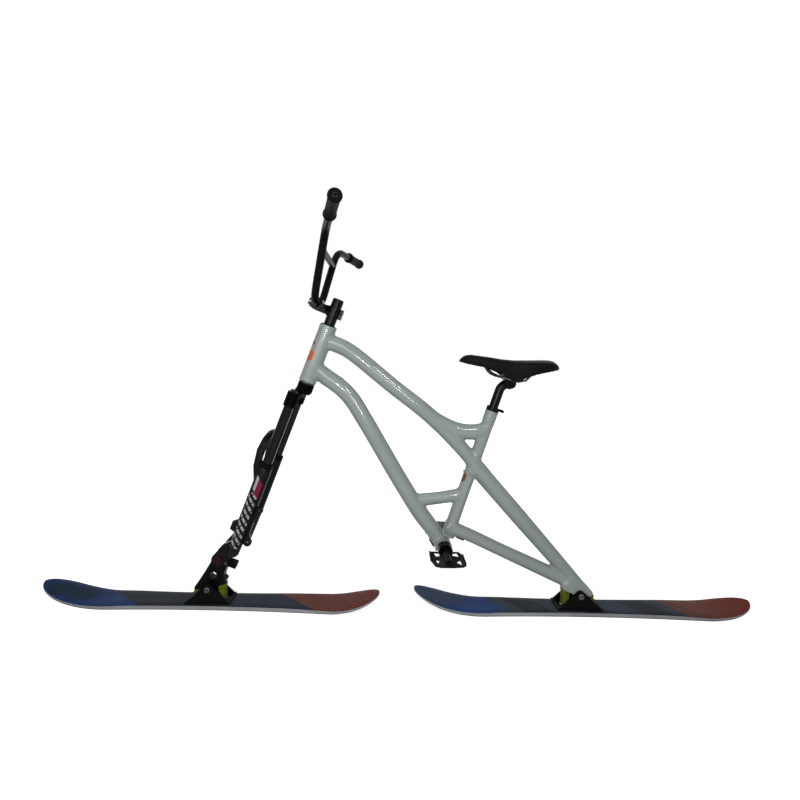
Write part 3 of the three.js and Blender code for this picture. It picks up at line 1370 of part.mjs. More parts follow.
function rubberBlocks(name, pivot, tops) {
  const base = skiThickness + bracketLift + bracketBase + seatGap;
  const lift = screwHeadHeight + seatGap * 3;
  const half = blockLength / 2;
  const waist = half * 0.8;
  for (const [side, way] of [['front', -1], ['rear', 1]]) {
    const { outer, inner } = tops[side];
    const outline = [[-half, base], [half, base], [waist, (base + outer) / 2], [half, outer], [-half, inner],
      [-waist, (base + inner) / 2]];
    const shape = joinAll([plate(outline.map(([x, z]) => [pivot.x + way * (blockOffset + x), z]),
      -blockWidth / 2, blockWidth / 2)]);
    const relief = rod(screwHeadRadius + seatGap, base - cutOverrun, base + lift, roundSides)
      .translate(pivot.x + way * screwSpread, 0, 0);
    addPiece(`${name}_${side}_rubber`, cutAll(shape, [relief]), blockYellow, 0, 0.5);
  }
}

function mountScrews(name, middle) {
  const top = skiThickness + bracketLift + bracketBase + seatGap;
  for (const [index, [x, y]] of screwSpots(middle).entries()) {
    const screw = turned([
      [0, skiThickness - screwDepth + smallBevel], [screwRadius, skiThickness - screwDepth + smallBevel],
      [screwRadius, top], [screwHeadRadius, top], [screwHeadRadius, top + screwHeadHeight * 0.5],
      [screwHeadRadius * 0.7, top + screwHeadHeight], [0, top + screwHeadHeight],
    ], coarseSides);
    addPiece(`${name}_${index === 0 ? 'front' : 'rear'}_screw`, screw.translate(x, y, 0), steelGrey, 0.9,
      0.3);
  }
}

function skiSet(name, middle, blockTops) {
  ski(`${name}_ski`, middle);
  skiBracket(name, middle);
  pivotBolt(name, pivotOf(middle));
  rubberBlocks(name, pivotOf(middle), blockTops);
  mountScrews(name, middle);
}

mainFrame();
frameFittings();
cableGuides();
pegAxle();
pedals();
forkCrown();
forkUppers();
forkLowers();
forkSmallParts();
frontMount();
headsetParts();
stem();
handlebar();
grips();
seatPost();
saddleClamp();
saddleRails();
saddleCushion();
saddleBase();
skiSet('front', frontSkiMiddle, frontBlockTops);
skiSet('rear', rearSkiMiddle, rearBlockTops);

export default group;
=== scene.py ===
import json
import math

import bpy
import numpy as np
from mathutils import Matrix, Vector


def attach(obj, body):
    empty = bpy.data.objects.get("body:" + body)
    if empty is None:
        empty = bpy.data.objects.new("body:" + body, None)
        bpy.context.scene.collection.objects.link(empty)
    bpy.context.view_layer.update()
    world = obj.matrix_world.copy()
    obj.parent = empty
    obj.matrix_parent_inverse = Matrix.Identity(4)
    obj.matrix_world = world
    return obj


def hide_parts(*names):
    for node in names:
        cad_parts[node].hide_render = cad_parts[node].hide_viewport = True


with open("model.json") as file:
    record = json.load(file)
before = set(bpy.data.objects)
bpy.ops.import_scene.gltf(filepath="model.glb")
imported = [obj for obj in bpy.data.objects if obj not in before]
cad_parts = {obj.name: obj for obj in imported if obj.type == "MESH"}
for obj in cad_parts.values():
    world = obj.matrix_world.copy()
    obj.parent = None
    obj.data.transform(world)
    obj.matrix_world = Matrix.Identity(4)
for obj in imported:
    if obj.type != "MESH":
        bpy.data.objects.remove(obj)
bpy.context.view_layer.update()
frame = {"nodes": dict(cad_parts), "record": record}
record = frame["record"]
slot_of = {entry["node"]: entry["material_slot"] for entry in record["subparts"]}
body_of = {node: body for body, names in record["behaviour"]["bodies"].items() for node in names}
MM = 0.001
MM_PER_METRE = 1000.0

# Camera, fitted to the photograph
CAMERA_PLACE = (-0.026, -1.346, 0.7229)
CAMERA_LENS = 20.81
CAMERA_SENSOR = 36.0
CAMERA_ROLL = math.radians(1.04)
CAMERA_SHIFT = (0.01, -0.0525)
CAMERA_CLIP = 0.05

# Lamps: place, what they face, width and height in metres, and power in watts
LAMPS = {
    "key": ((-0.7, -1.7, 1.3), (-0.15, 0, 0.65), (1.4, 1.0), 20),
    "fill": ((-0.1, -1.6, 0.8), (-0.15, 0, 0.6), (0.9, 0.6), 4),
    "high_flash": ((0.66, -1.5, 1.50), (0, 0, 0.62), (0.22, 0.13), 6),
    "near_flash": ((0.26, -1.52, 0.80), (0, 0, 0.6), (0.1, 0.30), 4.5),
    "head_flash": ((-0.15, -1.48, 0.77), (-0.2, 0, 0.77), (0.1, 0.1), 2.6),
    "top": ((-0.2, -0.6, 2.8), (0, 0, 0.4), (1.2, 0.8), 8),
    "rear_panel": ((0.3, 3.2, 1.1), (0, 0, 0.5), (4.0, 1.8), 30),
}
NOT_MIRRORED = {"rear_panel"}

# World: tint and strength as light, and as what the camera and reflections see
WORLD_LIGHT = ((0.97, 0.985, 1.0, 1.0), 0.045)
WORLD_SEEN = ((1, 1, 1, 1), 1.0)

# Floor, in metres; its glow rises with the distance from the middle, so that only the shadow shows
FLOOR_HALF = 14.0
FLOOR_HEIGHT = -0.0006
FLOOR_TONES = ((0.5, 0.5, 0.5), (0.54, 0.54, 0.54))
FLOOR_GLOW = (0.80, 1.2)
FLOOR_FADE = (0.3, 1.1)
FLOOR_LENGTHWISE = 0.45

# Frame tubes: routes in the middle plane and half sizes, in millimetres
TOP_TUBE = {
    "route": [(-228, 771), (-198, 762), (-154.7, 743.3), (-25, 643), (95.6, 549.9), (202, 441),
              (232, 402), (352, 267), (460, 147), (530, 68)],
    "depths": [24, 23.5, 23, 23, 23, 21, 25, 24, 21, 19],
    "widths": [21, 21, 21, 21, 21, 21, 22, 20, 18, 18],
}
BRANCH = {
    "route": [(40, 592), (95.6, 551), (136, 528), (176, 514.5), (214, 512), (252, 518)],
    "depths": [20, 22.5, 23, 23, 23, 23],
    "widths": [18, 20, 20, 20, 19, 17],
}
DOWN_TUBE = {
    "route": [(-252, 694), (-222, 668), (-177, 637), (-144, 605), (-103, 543), (3, 369), (66, 272),
              (102, 226), (131, 181)],
    "depths": [22, 25, 25, 25, 24.5, 24, 24, 22.5, 22],
    "widths": [20, 22, 22, 22, 22, 22, 24, 25, 26],
}
BRACE = {
    "route": [(48, 309), (75, 313), (120, 319), (163, 326), (184, 329)],
    "depths": [20, 18.5, 17.5, 18.5, 21],
    "widths": [16, 16, 16, 16, 16],
}
LOWER_STAY = {
    "route": [(140, 236), (189.6, 220), (300, 171), (420, 118), (497, 84)],
    "depths": [22, 18.5, 18, 19.5, 20],
    "widths": [22, 20, 18, 17, 17],
}
HEAD_FOOT = (-271, 649.5)
HEAD_ANGLE = math.radians(70.1)
HEAD_LENGTH = 173.5
HEAD_RADIUS = 25.6
STEER = (math.cos(HEAD_ANGLE), math.sin(HEAD_ANGLE))
SEAT_TOP = (269.8, 580)
SEAT_FOOT = (146, 212)
SEAT_RADIUS = 18
SEAT_STOP = 2
SLEEVE_RADIUS = 19.2
SLEEVE_LENGTH = 30
NECK_RADIUS = 16.2
NECK_LENGTH = 7
SHELL = (132, 190.5)
SHELL_RADIUS = 21.5
SHELL_HALF_WIDTH = 41.5
REAR_PIVOT = (524, 54)
LUG_RADIUS = 15
LUG_HALF_WIDTH = 23.7
LUG_BACK = [(-2.2, 2.6), (-3.25, 1.75), (-3.2, 0.9), (-1.3, 0.1)]
LUG_TURN = range(200, 341, 10)
LUG_FRONT = [(1, -0.25), (2.25, -0.3), (2.51, 0.1), (2.46, 0.61), (1, 2.15)]

# How finely the tubes are sampled along and around
CURVED_SAMPLES = 220
STRAIGHT_SAMPLES = 60
TUBE_SIDES = 96
LATHE_SIDES = 64

# Joining and smoothing of the frame's skin, in metres; machined rims and the rear lug are smoothed less
FRAME_VOXEL = 0.0016
FRAME_ROUNDS = 26
FRAME_STRENGTH = 0.5
HEAD_ZONE = 0.027
HEAD_RIM = 0.006
SHELL_RIM = 0.0365
RIM_SHARE = 0.05
SEAT_ZONE = 0.2
SEAT_RIM = -0.012
SEAT_RIM_SHARE = 0.03
LUG_ZONE = (0.46, 0.075)
LUG_SHARE = 0.12

# Weld beads: the tube, what it comes out of, and the samples between which its skin comes free
WELDS = {
    "weld_top_tube": ("top", ["head"], 0, 34),
    "weld_down_tube": ("down", ["head"], 0, 49),
    "weld_branch": ("branch", ["seat"], CURVED_SAMPLES, CURVED_SAMPLES - 73),
    "weld_brace_front": ("brace", ["down"], 0, 98),
    "weld_brace_rear": ("brace", ["seat"], CURVED_SAMPLES, CURVED_SAMPLES - 98),
    "weld_seat_upper": ("seat", ["top"], 30, 59),
    "weld_seat_lower": ("seat", ["top"], 30, 6),
    "weld_seat_foot": ("seat", ["shell", "down", "stay"], 0, 18),
    "weld_down_foot": ("down", ["shell"], CURVED_SAMPLES, CURVED_SAMPLES - 39),
    "weld_stay_front": ("stay", ["seat", "shell"], 0, 73),
}
BEAD_RADIUS = 2.3
BEAD_LIFT = 0.2
BEAD_STEP = 0.9
BEAD_RIPPLE = 4.2
BEAD_LEAST_RIPPLES = 8
BEAD_SIDES = 8
BEAD_TRIES = 160
BEAD_TALL = 0.75
BEAD_WIDE = 1.25
BEAD_NARROW = 0.82
BEAD_SWELL = 0.24
BEAD_SWELL_POWER = 0.7

# Skis, in millimetres; the side runs up from the base edge, as (inset, height) pairs from foot or from top
SKI_LENGTH = 972
SKI_WAIST = 76
SKI_SHOVEL = 100
SKI_WIDEST_SHARE = 0.74
SKI_THICKNESS = 12.5
SKI_TIP_THICKNESS = 6
SKI_TIP_RISE = 52
SKI_TIP_RUN = 205
SKI_TAPER_RUN = SKI_TIP_RUN * 1.2
SKI_TAIL_RISES = {"front": 37, "rear": 31}
SKI_TAIL_RUN = 150
SKI_TIP_ROUND = 90
SKI_LEAST_HALF = 2
SKI_MIDDLES = {"front": -536, "rear": 536}
SKI_STATIONS = 120
SKI_FOOT_SIDE = [(2.4, 0), (0.3, 0), (0, 0.4), (0, 2.0), (0.3, 2.2)]
SKI_TOP_SIDE = [(0.4, 1.6), (0.6, 1.0), (3.0, 0)]
SKI_NARROW = 4
SKI_POINT_SHARE = 0.6
SKI_POINT_STEP = 0.05

# Saddle, in millimetres, with (share of its length, value) pairs
SADDLE_NOSE = 170
SADDLE_LENGTH = 275
SADDLE_TOP = [(0, 719.5), (0.02, 728), (0.06, 735), (0.12, 737), (0.3, 731), (0.45, 725), (0.57, 722.5),
              (0.75, 723.5), (0.88, 724.8), (0.94, 724.2), (0.98, 720), (1, 714)]
SADDLE_SKIRT = [(0, 715.5), (0.05, 712), (0.13, 706.5), (0.26, 700.5), (0.35, 692.5), (0.4, 687.5),
                (0.445, 681), (0.5, 667.5), (0.55, 659.5), (0.6, 663), (0.66, 673), (0.77, 684),
                (0.88, 690.5), (0.95, 694), (0.985, 695), (1, 698)]
SADDLE_HALF_WIDTHS = [(0, 11), (0.02, 16), (0.06, 19), (0.12, 20.5), (0.26, 23), (0.38, 30), (0.5, 43),
                      (0.62, 58), (0.74, 68), (0.84, 71), (0.92, 66), (0.97, 56), (1, 46)]
SADDLE_EDGE_DROP = 9
SADDLE_EDGE_DROP_SHARE = 0.5
SADDLE_WALL = 4
SADDLE_WALL_SHARE = 0.35
SADDLE_PADDING = 9
SADDLE_PADDING_SHARE = 0.55
SADDLE_STATIONS = 64
SADDLE_CROWN_STEPS = 12
SADDLE_SKIRT_STEPS = 6
SADDLE_CROWN_FALL = 1.02
SADDLE_CROWN_POWER = 2.6
SADDLE_EDGE_FALL = 0.42
SADDLE_EDGE_POWER = 14
SADDLE_TUCK = 0.07
SADDLE_TUCK_POWER = 1.6
SADDLE_LIP = 0.2
SADDLE_INNER_WIDTH = 0.985
SADDLE_INNER_LEAST = 1
SADDLE_FLOOR_SHARE = 0.15
SADDLE_LINE_ROUNDING = 0.02
SADDLE_INNER_SHARES = (1.0, 0.9, 0.7, 0.45, 0.2)
SADDLE_VOXEL = 0.0022
SADDLE_SOFT_ROUNDS = 6

# Badge and patches, as middle along the tube, half height and half width, in millimetres
HEAD_BADGE = (77, 19.5, 24.3)
HEAD_MARK = (113.5, 7, 20)
SEAT_PATCH = (176, 14.5, 15)
BADGE_RIM_SIZE = (1.2, 0.5)
BADGE_SHADE_REACH = 18

# Print on the fork legs, in millimetres along the steering axis from the head tube's foot
LEG_SIDE = 60
LEG_LEAD = 14.5
PRINT_TOP = -290
PRINT_FOOT = -492
PRINT_PITCH = 19.0
PRINT_SLANT = 0.9
PRINT_NOTCH_PITCH = PRINT_PITCH * 1.6
PRINT_NOTCH_SLANT = 1.5
PRINT_BARS = {"along": (PRINT_FOOT, PRINT_TOP - 40), "across": (-14.5, 10.5)}
PRINT_BLOCK = {"along": (PRINT_TOP - 42, PRINT_TOP), "across": (-1.5, 12.0)}
PRINT_STRIP = {"along": (PRINT_TOP - 38, PRINT_TOP + 2), "across": (-9.5, -2.0)}

# Low end, high end and softness of a bar and a notch, as shares of their pitch
PRINT_BAR = (0.16, 0.62, 0.04)
PRINT_NOTCH = (0.0, 0.2, 0.04)

# Printed decks: where each colour ends, from the ski's middle at its near and far edges, in metres
DECK_EDGES = {
    "front": {"blue": (-0.186, -0.316), "red": (0.310, 0.1755)},
    "rear": {"blue": (-0.2016, -0.289), "red": (0.2956, 0.2224)},
}
DECK_HALF = 0.05
DECK_COOL_EDGE = (0.03, -0.06)
DECK_BAND_EDGE = (0.355, 0.262)
DECK_TAIL = (0.34, 0.48)
DECK_WING_MIDDLE = -0.405
DECK_WING_SIZE = (0.062, 0.05)
DECK_WING_SQUASH = 2.2
DECK_WING_RAGGED = 0.10
DECK_TAIL_STRENGTH = 0.75
DECK_BLUE_LINES = (math.radians(53), 0.0093)
DECK_RED_LINES = (math.radians(59), 0.0092)
DECK_RED_STRENGTH = {"front": 0.85, "rear": 0.5}

# Colours, as linear values; pairs are the dark and the light end of a slight variation
BLACK = (0.0016, 0.0016, 0.0018)
PAINT = ((0.196, 0.232, 0.212), (0.218, 0.252, 0.232))
PAINT_SPECK = (0.34, 0.37, 0.35)
BADGE_ORANGE = ((0.33, 0.07, 0.006), (0.47, 0.085, 0.01))
BADGE_RIM = (0.4, 0.2, 0.11)
MARK_BROWN = (0.05, 0.035, 0.03)
PATCH_RED = (0.16, 0.045, 0.03)
PRINT_SILVER = ((0.20, 0.20, 0.21), (0.36, 0.36, 0.37))
PRINT_RED = (0.15, 0.008, 0.028)
COVER = ((0.0028, 0.0028, 0.003), (0.0055, 0.0055, 0.006))
# Painted reflection of the black saddle on the rails towards the nose
RAIL_PAINTED_REFLECTION = (0.006, 0.006, 0.0065)
RAIL_BRIGHT = (0.13, 0.13, 0.135)
DECK_BLUE = ((0.014, 0.032, 0.115), (0.024, 0.052, 0.165))
DECK_SLATE = ((0.0165, 0.0215, 0.0235), (0.0225, 0.0275, 0.032))
DECK_RED = ((0.155, 0.046, 0.034), (0.195, 0.062, 0.046))
DECK_BLUE_LINE = (0.012, 0.020, 0.036)
DECK_WING = (0.010, 0.022, 0.034)
DECK_BLUE_CUT = (0.026, 0.042, 0.066)
DECK_BLUE_GRAIN = (0.02, 0.05, 0.10)
DECK_COOL = {"front": (0.028, 0.034, 0.054), "rear": (0.036, 0.046, 0.072)}
DECK_TAIL_RED = (0.205, 0.034, 0.022)
DECK_RED_LINE = (0.045, 0.024, 0.024)
DECK_BAND = (0.075, 0.04, 0.034)
DECK_SCUFF = (0.10, 0.105, 0.12)

# Plain finishes: colour, roughness and what differs from finish_material's own values; edge is the colour of
# painted highlights on a finish's edges
FINISHES = {
    "black_alloy": dict(base=BLACK, rough=0.3, specular=0.04, edge=(0.02, 0.02, 0.021)),
    "gloss_black": dict(base=(0.002, 0.002, 0.0022), rough=0.2, specular=0.04, coat=0.05, bump=0.00001),
    "bronze_tube": dict(base=(0.012, 0.0112, 0.0096), rough=0.2, metal=1.0, grain=500.0),
    "steel": dict(base=(0.05, 0.05, 0.053), rough=0.26, metal=1.0, grain=500.0, edge=(0.5, 0.5, 0.5)),
    "red_alloy": dict(base=(0.022, 0.0015, 0.005), rough=0.2, specular=0.08, edge=(0.12, 0.02, 0.04)),
    "elastomer": dict(base=(0.115, 0.128, 0.012), rough=0.5, specular=0.03, mottle=0.25),
    "grip_rubber": dict(base=(0.0028, 0.0028, 0.003), rough=0.6, specular=0.03, bump=0.0002),
    "saddle_shell": dict(base=(0.004, 0.004, 0.004), rough=0.5, specular=0.05, bump=0.0001),
    "guide_plastic": dict(base=(0.005, 0.005, 0.005), rough=0.5, specular=0.06, bump=0.0001),
    "ski_wall": dict(base=(0.22, 0.225, 0.235), rough=0.4, specular=0.1, bump=0.0001),
    "ski_edge": dict(base=(0.022, 0.022, 0.024), rough=0.35, metal=0.9, grain=500.0),
    "ski_base": dict(base=(0.02, 0.02, 0.022), rough=0.5, specular=0.1, grain=180.0),
    "ski_line": dict(base=(0.006, 0.006, 0.007), rough=0.4, specular=0.04),
    "knob_alloy": dict(base=BLACK, rough=0.25, specular=0.06, edge=(0.42, 0.42, 0.43), edge_size=0.0011),
    "crown_alloy": dict(base=BLACK, rough=0.5, specular=0.01, edge=(0.1, 0.1, 0.1)),
}

# Nodes whose finish isn't the one that their slot names
NODE_FINISHES = {
    "crown_alloy": ["fork_crown"],
    "fork_lowers_print": ["fork_lowers"],
    "knob_alloy": ["left_fork_knob", "right_fork_knob", "lower_stem_bolt", "upper_stem_bolt",
                   "left_bar_plug", "right_bar_plug"],
    "gloss_black": ["seat_collar", "headset_cover", "lower_spacer", "upper_spacer", "top_cap", "stem"],
    "black_alloy": ["seat_collar_bolt"],
    "ski_wall": ["front_ski", "rear_ski"],
}

# Most values of a noise lie between these two
NOISE_LOW = 0.3
NOISE_HIGH = 0.7

# Painted highlights on edges: how far the rounded normal turns from the flat one, and how patchy the painted
# highlights are
EDGE_TURN = (0.985, 0.9)
EDGE_GLINT_SCALE = 60.0
EDGE_GLINT_PATCHES = (0.35, 0.6)
COAT_ROUGHNESS = 0.06
ROUGH_SPREAD = 0.08
FINE_STRENGTH = 0.6


# Materials

class Shader:
    """One node material, with short calls that add its nodes and link them."""

    def __init__(self, name):
        self.material = bpy.data.materials.new(name)
        self.material.use_nodes = True
        self.tree = self.material.node_tree
        self.surface = self.tree.nodes["Principled BSDF"]
        self.place = self.add("ShaderNodeTexCoord").outputs["Object"]

    def add(self, kind, values=None, **settings):
        node = self.tree.nodes.new(kind)
        for key, value in settings.items():
            setattr(node, key, value)
        for key, value in (values or {}).items():
            self.put(node.inputs[key], value)
        return node

    def put(self, socket, value):
        if isinstance(value, bpy.types.NodeSocket):
            self.tree.links.new(value, socket)
        else:
            socket.default_value = value

    def math(self, operation, *values, clamp=False):
        node = self.add("ShaderNodeMath", operation=operation, use_clamp=clamp)
        for socket, value in zip(node.inputs, values):
            self.put(socket, value)
        return node.outputs[0]

    def plus(self, first, second):
        return self.math("ADD", first, second)

    def minus(self, first, second):
        return self.math("SUBTRACT", first, second)

    def times(self, first, *others):
        for other in others:
            first = self.math("MULTIPLY", first, other)
        return first

    def over(self, first, second):
        return self.math("DIVIDE", first, second)

    def size(self, value):
        return self.math("ABSOLUTE", value)

    def noise(self, scale, detail=3.0, rough=0.5):
        node = self.add("ShaderNodeTexNoise", {"Vector": self.place, "Scale": scale, "Detail": detail,
                                               "Roughness": rough})
        return node.outputs["Fac"]

    def span(self, value, low, high, new_low=0.0, new_high=1.0, smooth=False):
        node = self.add("ShaderNodeMapRange", {"Value": value, "From Min": low, "From Max": high,
                                               "To Min": new_low, "To Max": new_high})
        if smooth:
            node.interpolation_type = "SMOOTHSTEP"
        return node.outputs["Result"]

    def spread(self, noise, low, high):
        """A measure that varies between two values with a noise."""
        return self.span(noise, NOISE_LOW, NOISE_HIGH, low, high)

    def blend(self, share, first, second):
        node = self.add("ShaderNodeMix", data_type="RGBA")
        self.put(node.inputs[0], share)
        self.put(node.inputs[6], colour(first))
        self.put(node.inputs[7], colour(second))
        return node.outputs[2]

    def vary(self, noise, tones):
        """A colour that varies between two tones with a noise."""
        return self.blend(self.span(noise, NOISE_LOW, NOISE_HIGH), *tones)

    def over_print(self, tone, mask, ink, strength):
        """The tone with an ink of some strength laid over it where the mask is 1."""
        return self.blend(self.times(mask, strength), tone, ink)

    def axes(self):
        node = self.add("ShaderNodeSeparateXYZ", {"Vector": self.place})
        return node.outputs[0], node.outputs[1], node.outputs[2]

    def bump(self, height, distance, strength=0.5, normal=None):
        node = self.add("ShaderNodeBump", {"Height": height, "Distance": distance, "Strength": strength})
        if normal:
            self.put(node.inputs["Normal"], normal)
        return node.outputs["Normal"]

    def set(self, **values):
        for key, value in values.items():
            self.put(self.surface.inputs[key.replace("_", " ")], value)


def colour(value):
    return (*value, 1.0) if isinstance(value, (tuple, list)) and len(value) == 3 else value


def finish_material(name, base, rough, metal=0.0, specular=0.5, coat=0.0, grain=260.0, mottle=0.12,
                    bump=0.00004, edge=None, edge_size=0.0006):
    """A painted, plated or moulded finish with slight variation, a fine texture and painted highlights in
    patches on its edges.
    """
    s = Shader(name)
    fine = s.noise(grain, detail=4.0, rough=0.6)
    broad = s.noise(scale=9.0)
    tone = s.vary(broad, [tuple(c * share for c in base) for share in (1 - mottle, 1 + mottle)])
    normal = None
    # Painted highlight: the edge colour is laid in patches on the rounded edges
    if edge:
        normal = s.add("ShaderNodeBevel", {"Radius": edge_size}, samples=4).outputs["Normal"]
        flat = s.add("ShaderNodeNewGeometry").outputs["Normal"]
        turn = s.add("ShaderNodeVectorMath", operation="DOT_PRODUCT")
        s.put(turn.inputs[0], normal)
        s.put(turn.inputs[1], flat)
        ridge = s.span(turn.outputs["Value"], *EDGE_TURN)
        edge_glint = s.math("MULTIPLY", ridge, s.span(s.noise(EDGE_GLINT_SCALE), *EDGE_GLINT_PATCHES), clamp=True)
        tone = s.blend(edge_glint, tone, edge)
    s.set(Base_Color=tone, Metallic=metal, Specular_IOR_Level=specular,
          Coat_Weight=coat, Coat_Roughness=COAT_ROUGHNESS,
          Roughness=s.spread(fine, rough - ROUGH_SPREAD / 2, rough + ROUGH_SPREAD / 2),
          Normal=s.bump(fine, bump, FINE_STRENGTH, normal))
    return s.material


def on_line(s, foot, slope):
    """Millimetres along a line in the middle plane, across it towards the rear, and to its side."""
    x, y, z = s.axes()
    x = s.minus(s.times(x, MM_PER_METRE), foot[0])
    z = s.minus(s.times(z, MM_PER_METRE), foot[1])
    along = s.plus(s.times(x, slope[0]), s.times(z, slope[1]))
    across = s.minus(s.times(x, slope[1]), s.times(z, slope[0]))
    return along, across, s.times(y, MM_PER_METRE)


def within(s, value, low, high, soft=0.4):
    """1 between two limits and 0 outside, with a soft edge."""
    rising = s.span(value, low - soft, low + soft)
    return s.times(rising, s.span(value, high + soft, high - soft))


def patch(s, foot, slope, radius, middle, half_height, half_width, corner=4.0, reach=3):
    """A rounded patch on the front of a tube: 1 inside it and 0 outside."""
    along, across, side = on_line(s, foot, slope)
    tall = s.math("POWER", s.over(s.size(s.minus(along, middle)), half_height), corner)
    wide = s.math("POWER", s.over(s.size(side), half_width), corner)
    inside = s.span(s.plus(tall, wide), 1.15, 0.85)
    return s.times(inside, within(s, across, -radius - reach, 0))


def frame_material():
    """Grey-green gloss paint with a plain head badge, a small mark above it and a seat tube patch."""
    s = Shader("frame_paint")
    fine = s.noise(scale=700.0, detail=4.0, rough=0.6)
    tone = s.vary(s.noise(scale=7.0), PAINT)
    speck = s.span(s.noise(scale=1400.0, detail=2.0), 0.62, 0.8)
    tone = s.over_print(tone, speck, PAINT_SPECK, strength=0.12)
    head = (s, HEAD_FOOT, STEER, HEAD_RADIUS)
    centre, tall, wide = HEAD_BADGE
    badge = patch(*head, *HEAD_BADGE)
    rim = s.minus(badge, patch(*head, centre, tall - BADGE_RIM_SIZE[0], wide - BADGE_RIM_SIZE[1]))
    rise = on_line(s, HEAD_FOOT, STEER)[0]
    shade = s.blend(s.span(rise, centre - BADGE_SHADE_REACH, centre + BADGE_SHADE_REACH), *BADGE_ORANGE)
    tone = s.blend(badge, tone, shade)
    tone = s.over_print(tone, rim, BADGE_RIM, strength=0.5)
    tone = s.blend(patch(*head, *HEAD_MARK), tone, MARK_BROWN)
    seat = unit(np.array(SEAT_TOP, float) - np.array(SEAT_FOOT, float))
    stripe = patch(s, SEAT_FOOT, tuple(float(c) for c in seat), SEAT_RADIUS, *SEAT_PATCH)
    tone = s.blend(stripe, tone, PATCH_RED)
    raised = s.plus(s.times(badge, 0.6), s.times(fine, 0.02))
    s.set(Base_Color=tone, Roughness=s.spread(fine, 0.26, 0.32), Specular_IOR_Level=0.08, Coat_Weight=0.14,
          Coat_Roughness=0.035, Coat_IOR=2.4, Normal=s.bump(raised, 0.0005))
    return s.material


def fork_material():
    """Black lowers with a silver and red print of plain slanting bars on the outer side of each leg."""
    s = Shader("fork_lowers_print")
    along, across, side = on_line(s, HEAD_FOOT, STEER)
    fine = s.noise(scale=300.0, detail=4.0, rough=0.6)
    outer = s.math("GREATER_THAN", s.size(side), LEG_SIDE)
    across = s.plus(across, LEG_LEAD)
    slanted = s.plus(along, s.times(across, PRINT_SLANT))
    turned = s.minus(along, s.times(across, PRINT_NOTCH_SLANT))

    def zone(area, rise):
        return s.times(within(s, rise, *area["along"]), within(s, across, *area["across"]), outer)

    bars = within(s, s.math("FRACT", s.over(slanted, PRINT_PITCH)), *PRINT_BAR)
    notch = within(s, s.math("FRACT", s.over(turned, PRINT_NOTCH_PITCH)), *PRINT_NOTCH)
    bars = s.times(bars, s.minus(1.0, notch), zone(PRINT_BARS, along))
    silver = s.blend(s.noise(scale=60.0), *PRINT_SILVER)
    tone = s.blend(s.math("MAXIMUM", bars, zone(PRINT_STRIP, slanted)), BLACK, silver)
    tone = s.blend(zone(PRINT_BLOCK, slanted), tone, PRINT_RED)
    s.set(Base_Color=tone, Roughness=s.spread(fine, 0.24, 0.32), Specular_IOR_Level=0.08,
          Normal=s.bump(fine, 0.00002))
    return s.material


def saddle_material():
    """Matt black cover with a fine pebbled grain, its roughness varying in broad patches."""
    s = Shader("saddle_cover")
    pebble = s.add("ShaderNodeTexVoronoi", {"Vector": s.place, "Scale": 900.0}, feature="F1")
    tone = s.vary(s.noise(scale=24.0), COVER)
    s.set(Base_Color=tone, Roughness=s.span(s.noise(scale=9.0, detail=2.0), 0.35, 0.65, 0.36, 0.5),
          Specular_IOR_Level=0.03, Normal=s.bump(pebble.outputs["Distance"], 0.00012))
    return s.material


def rail_material(bright_from=0.288, bright_to=0.31):
    """Steel rails, dark at the nose from a painted reflection of the black saddle, and bright along the part
    that the clamp holds.
    """
    s = Shader("rail_steel")
    x = s.axes()[0]
    fine = s.noise(scale=500.0, detail=4.0, rough=0.6)
    # Forward of bright_from the rails carry the painted reflection of the saddle; behind it they are bare
    # steel
    bright = s.span(s.plus(x, s.times(s.noise(scale=120.0), 0.01)), bright_from, bright_to)
    s.set(Base_Color=s.blend(bright, RAIL_PAINTED_REFLECTION, RAIL_BRIGHT), Metallic=bright, Specular_IOR_Level=0.05,
          Roughness=s.spread(fine, 0.24, 0.34), Normal=s.bump(fine, 0.00003))
    return s.material


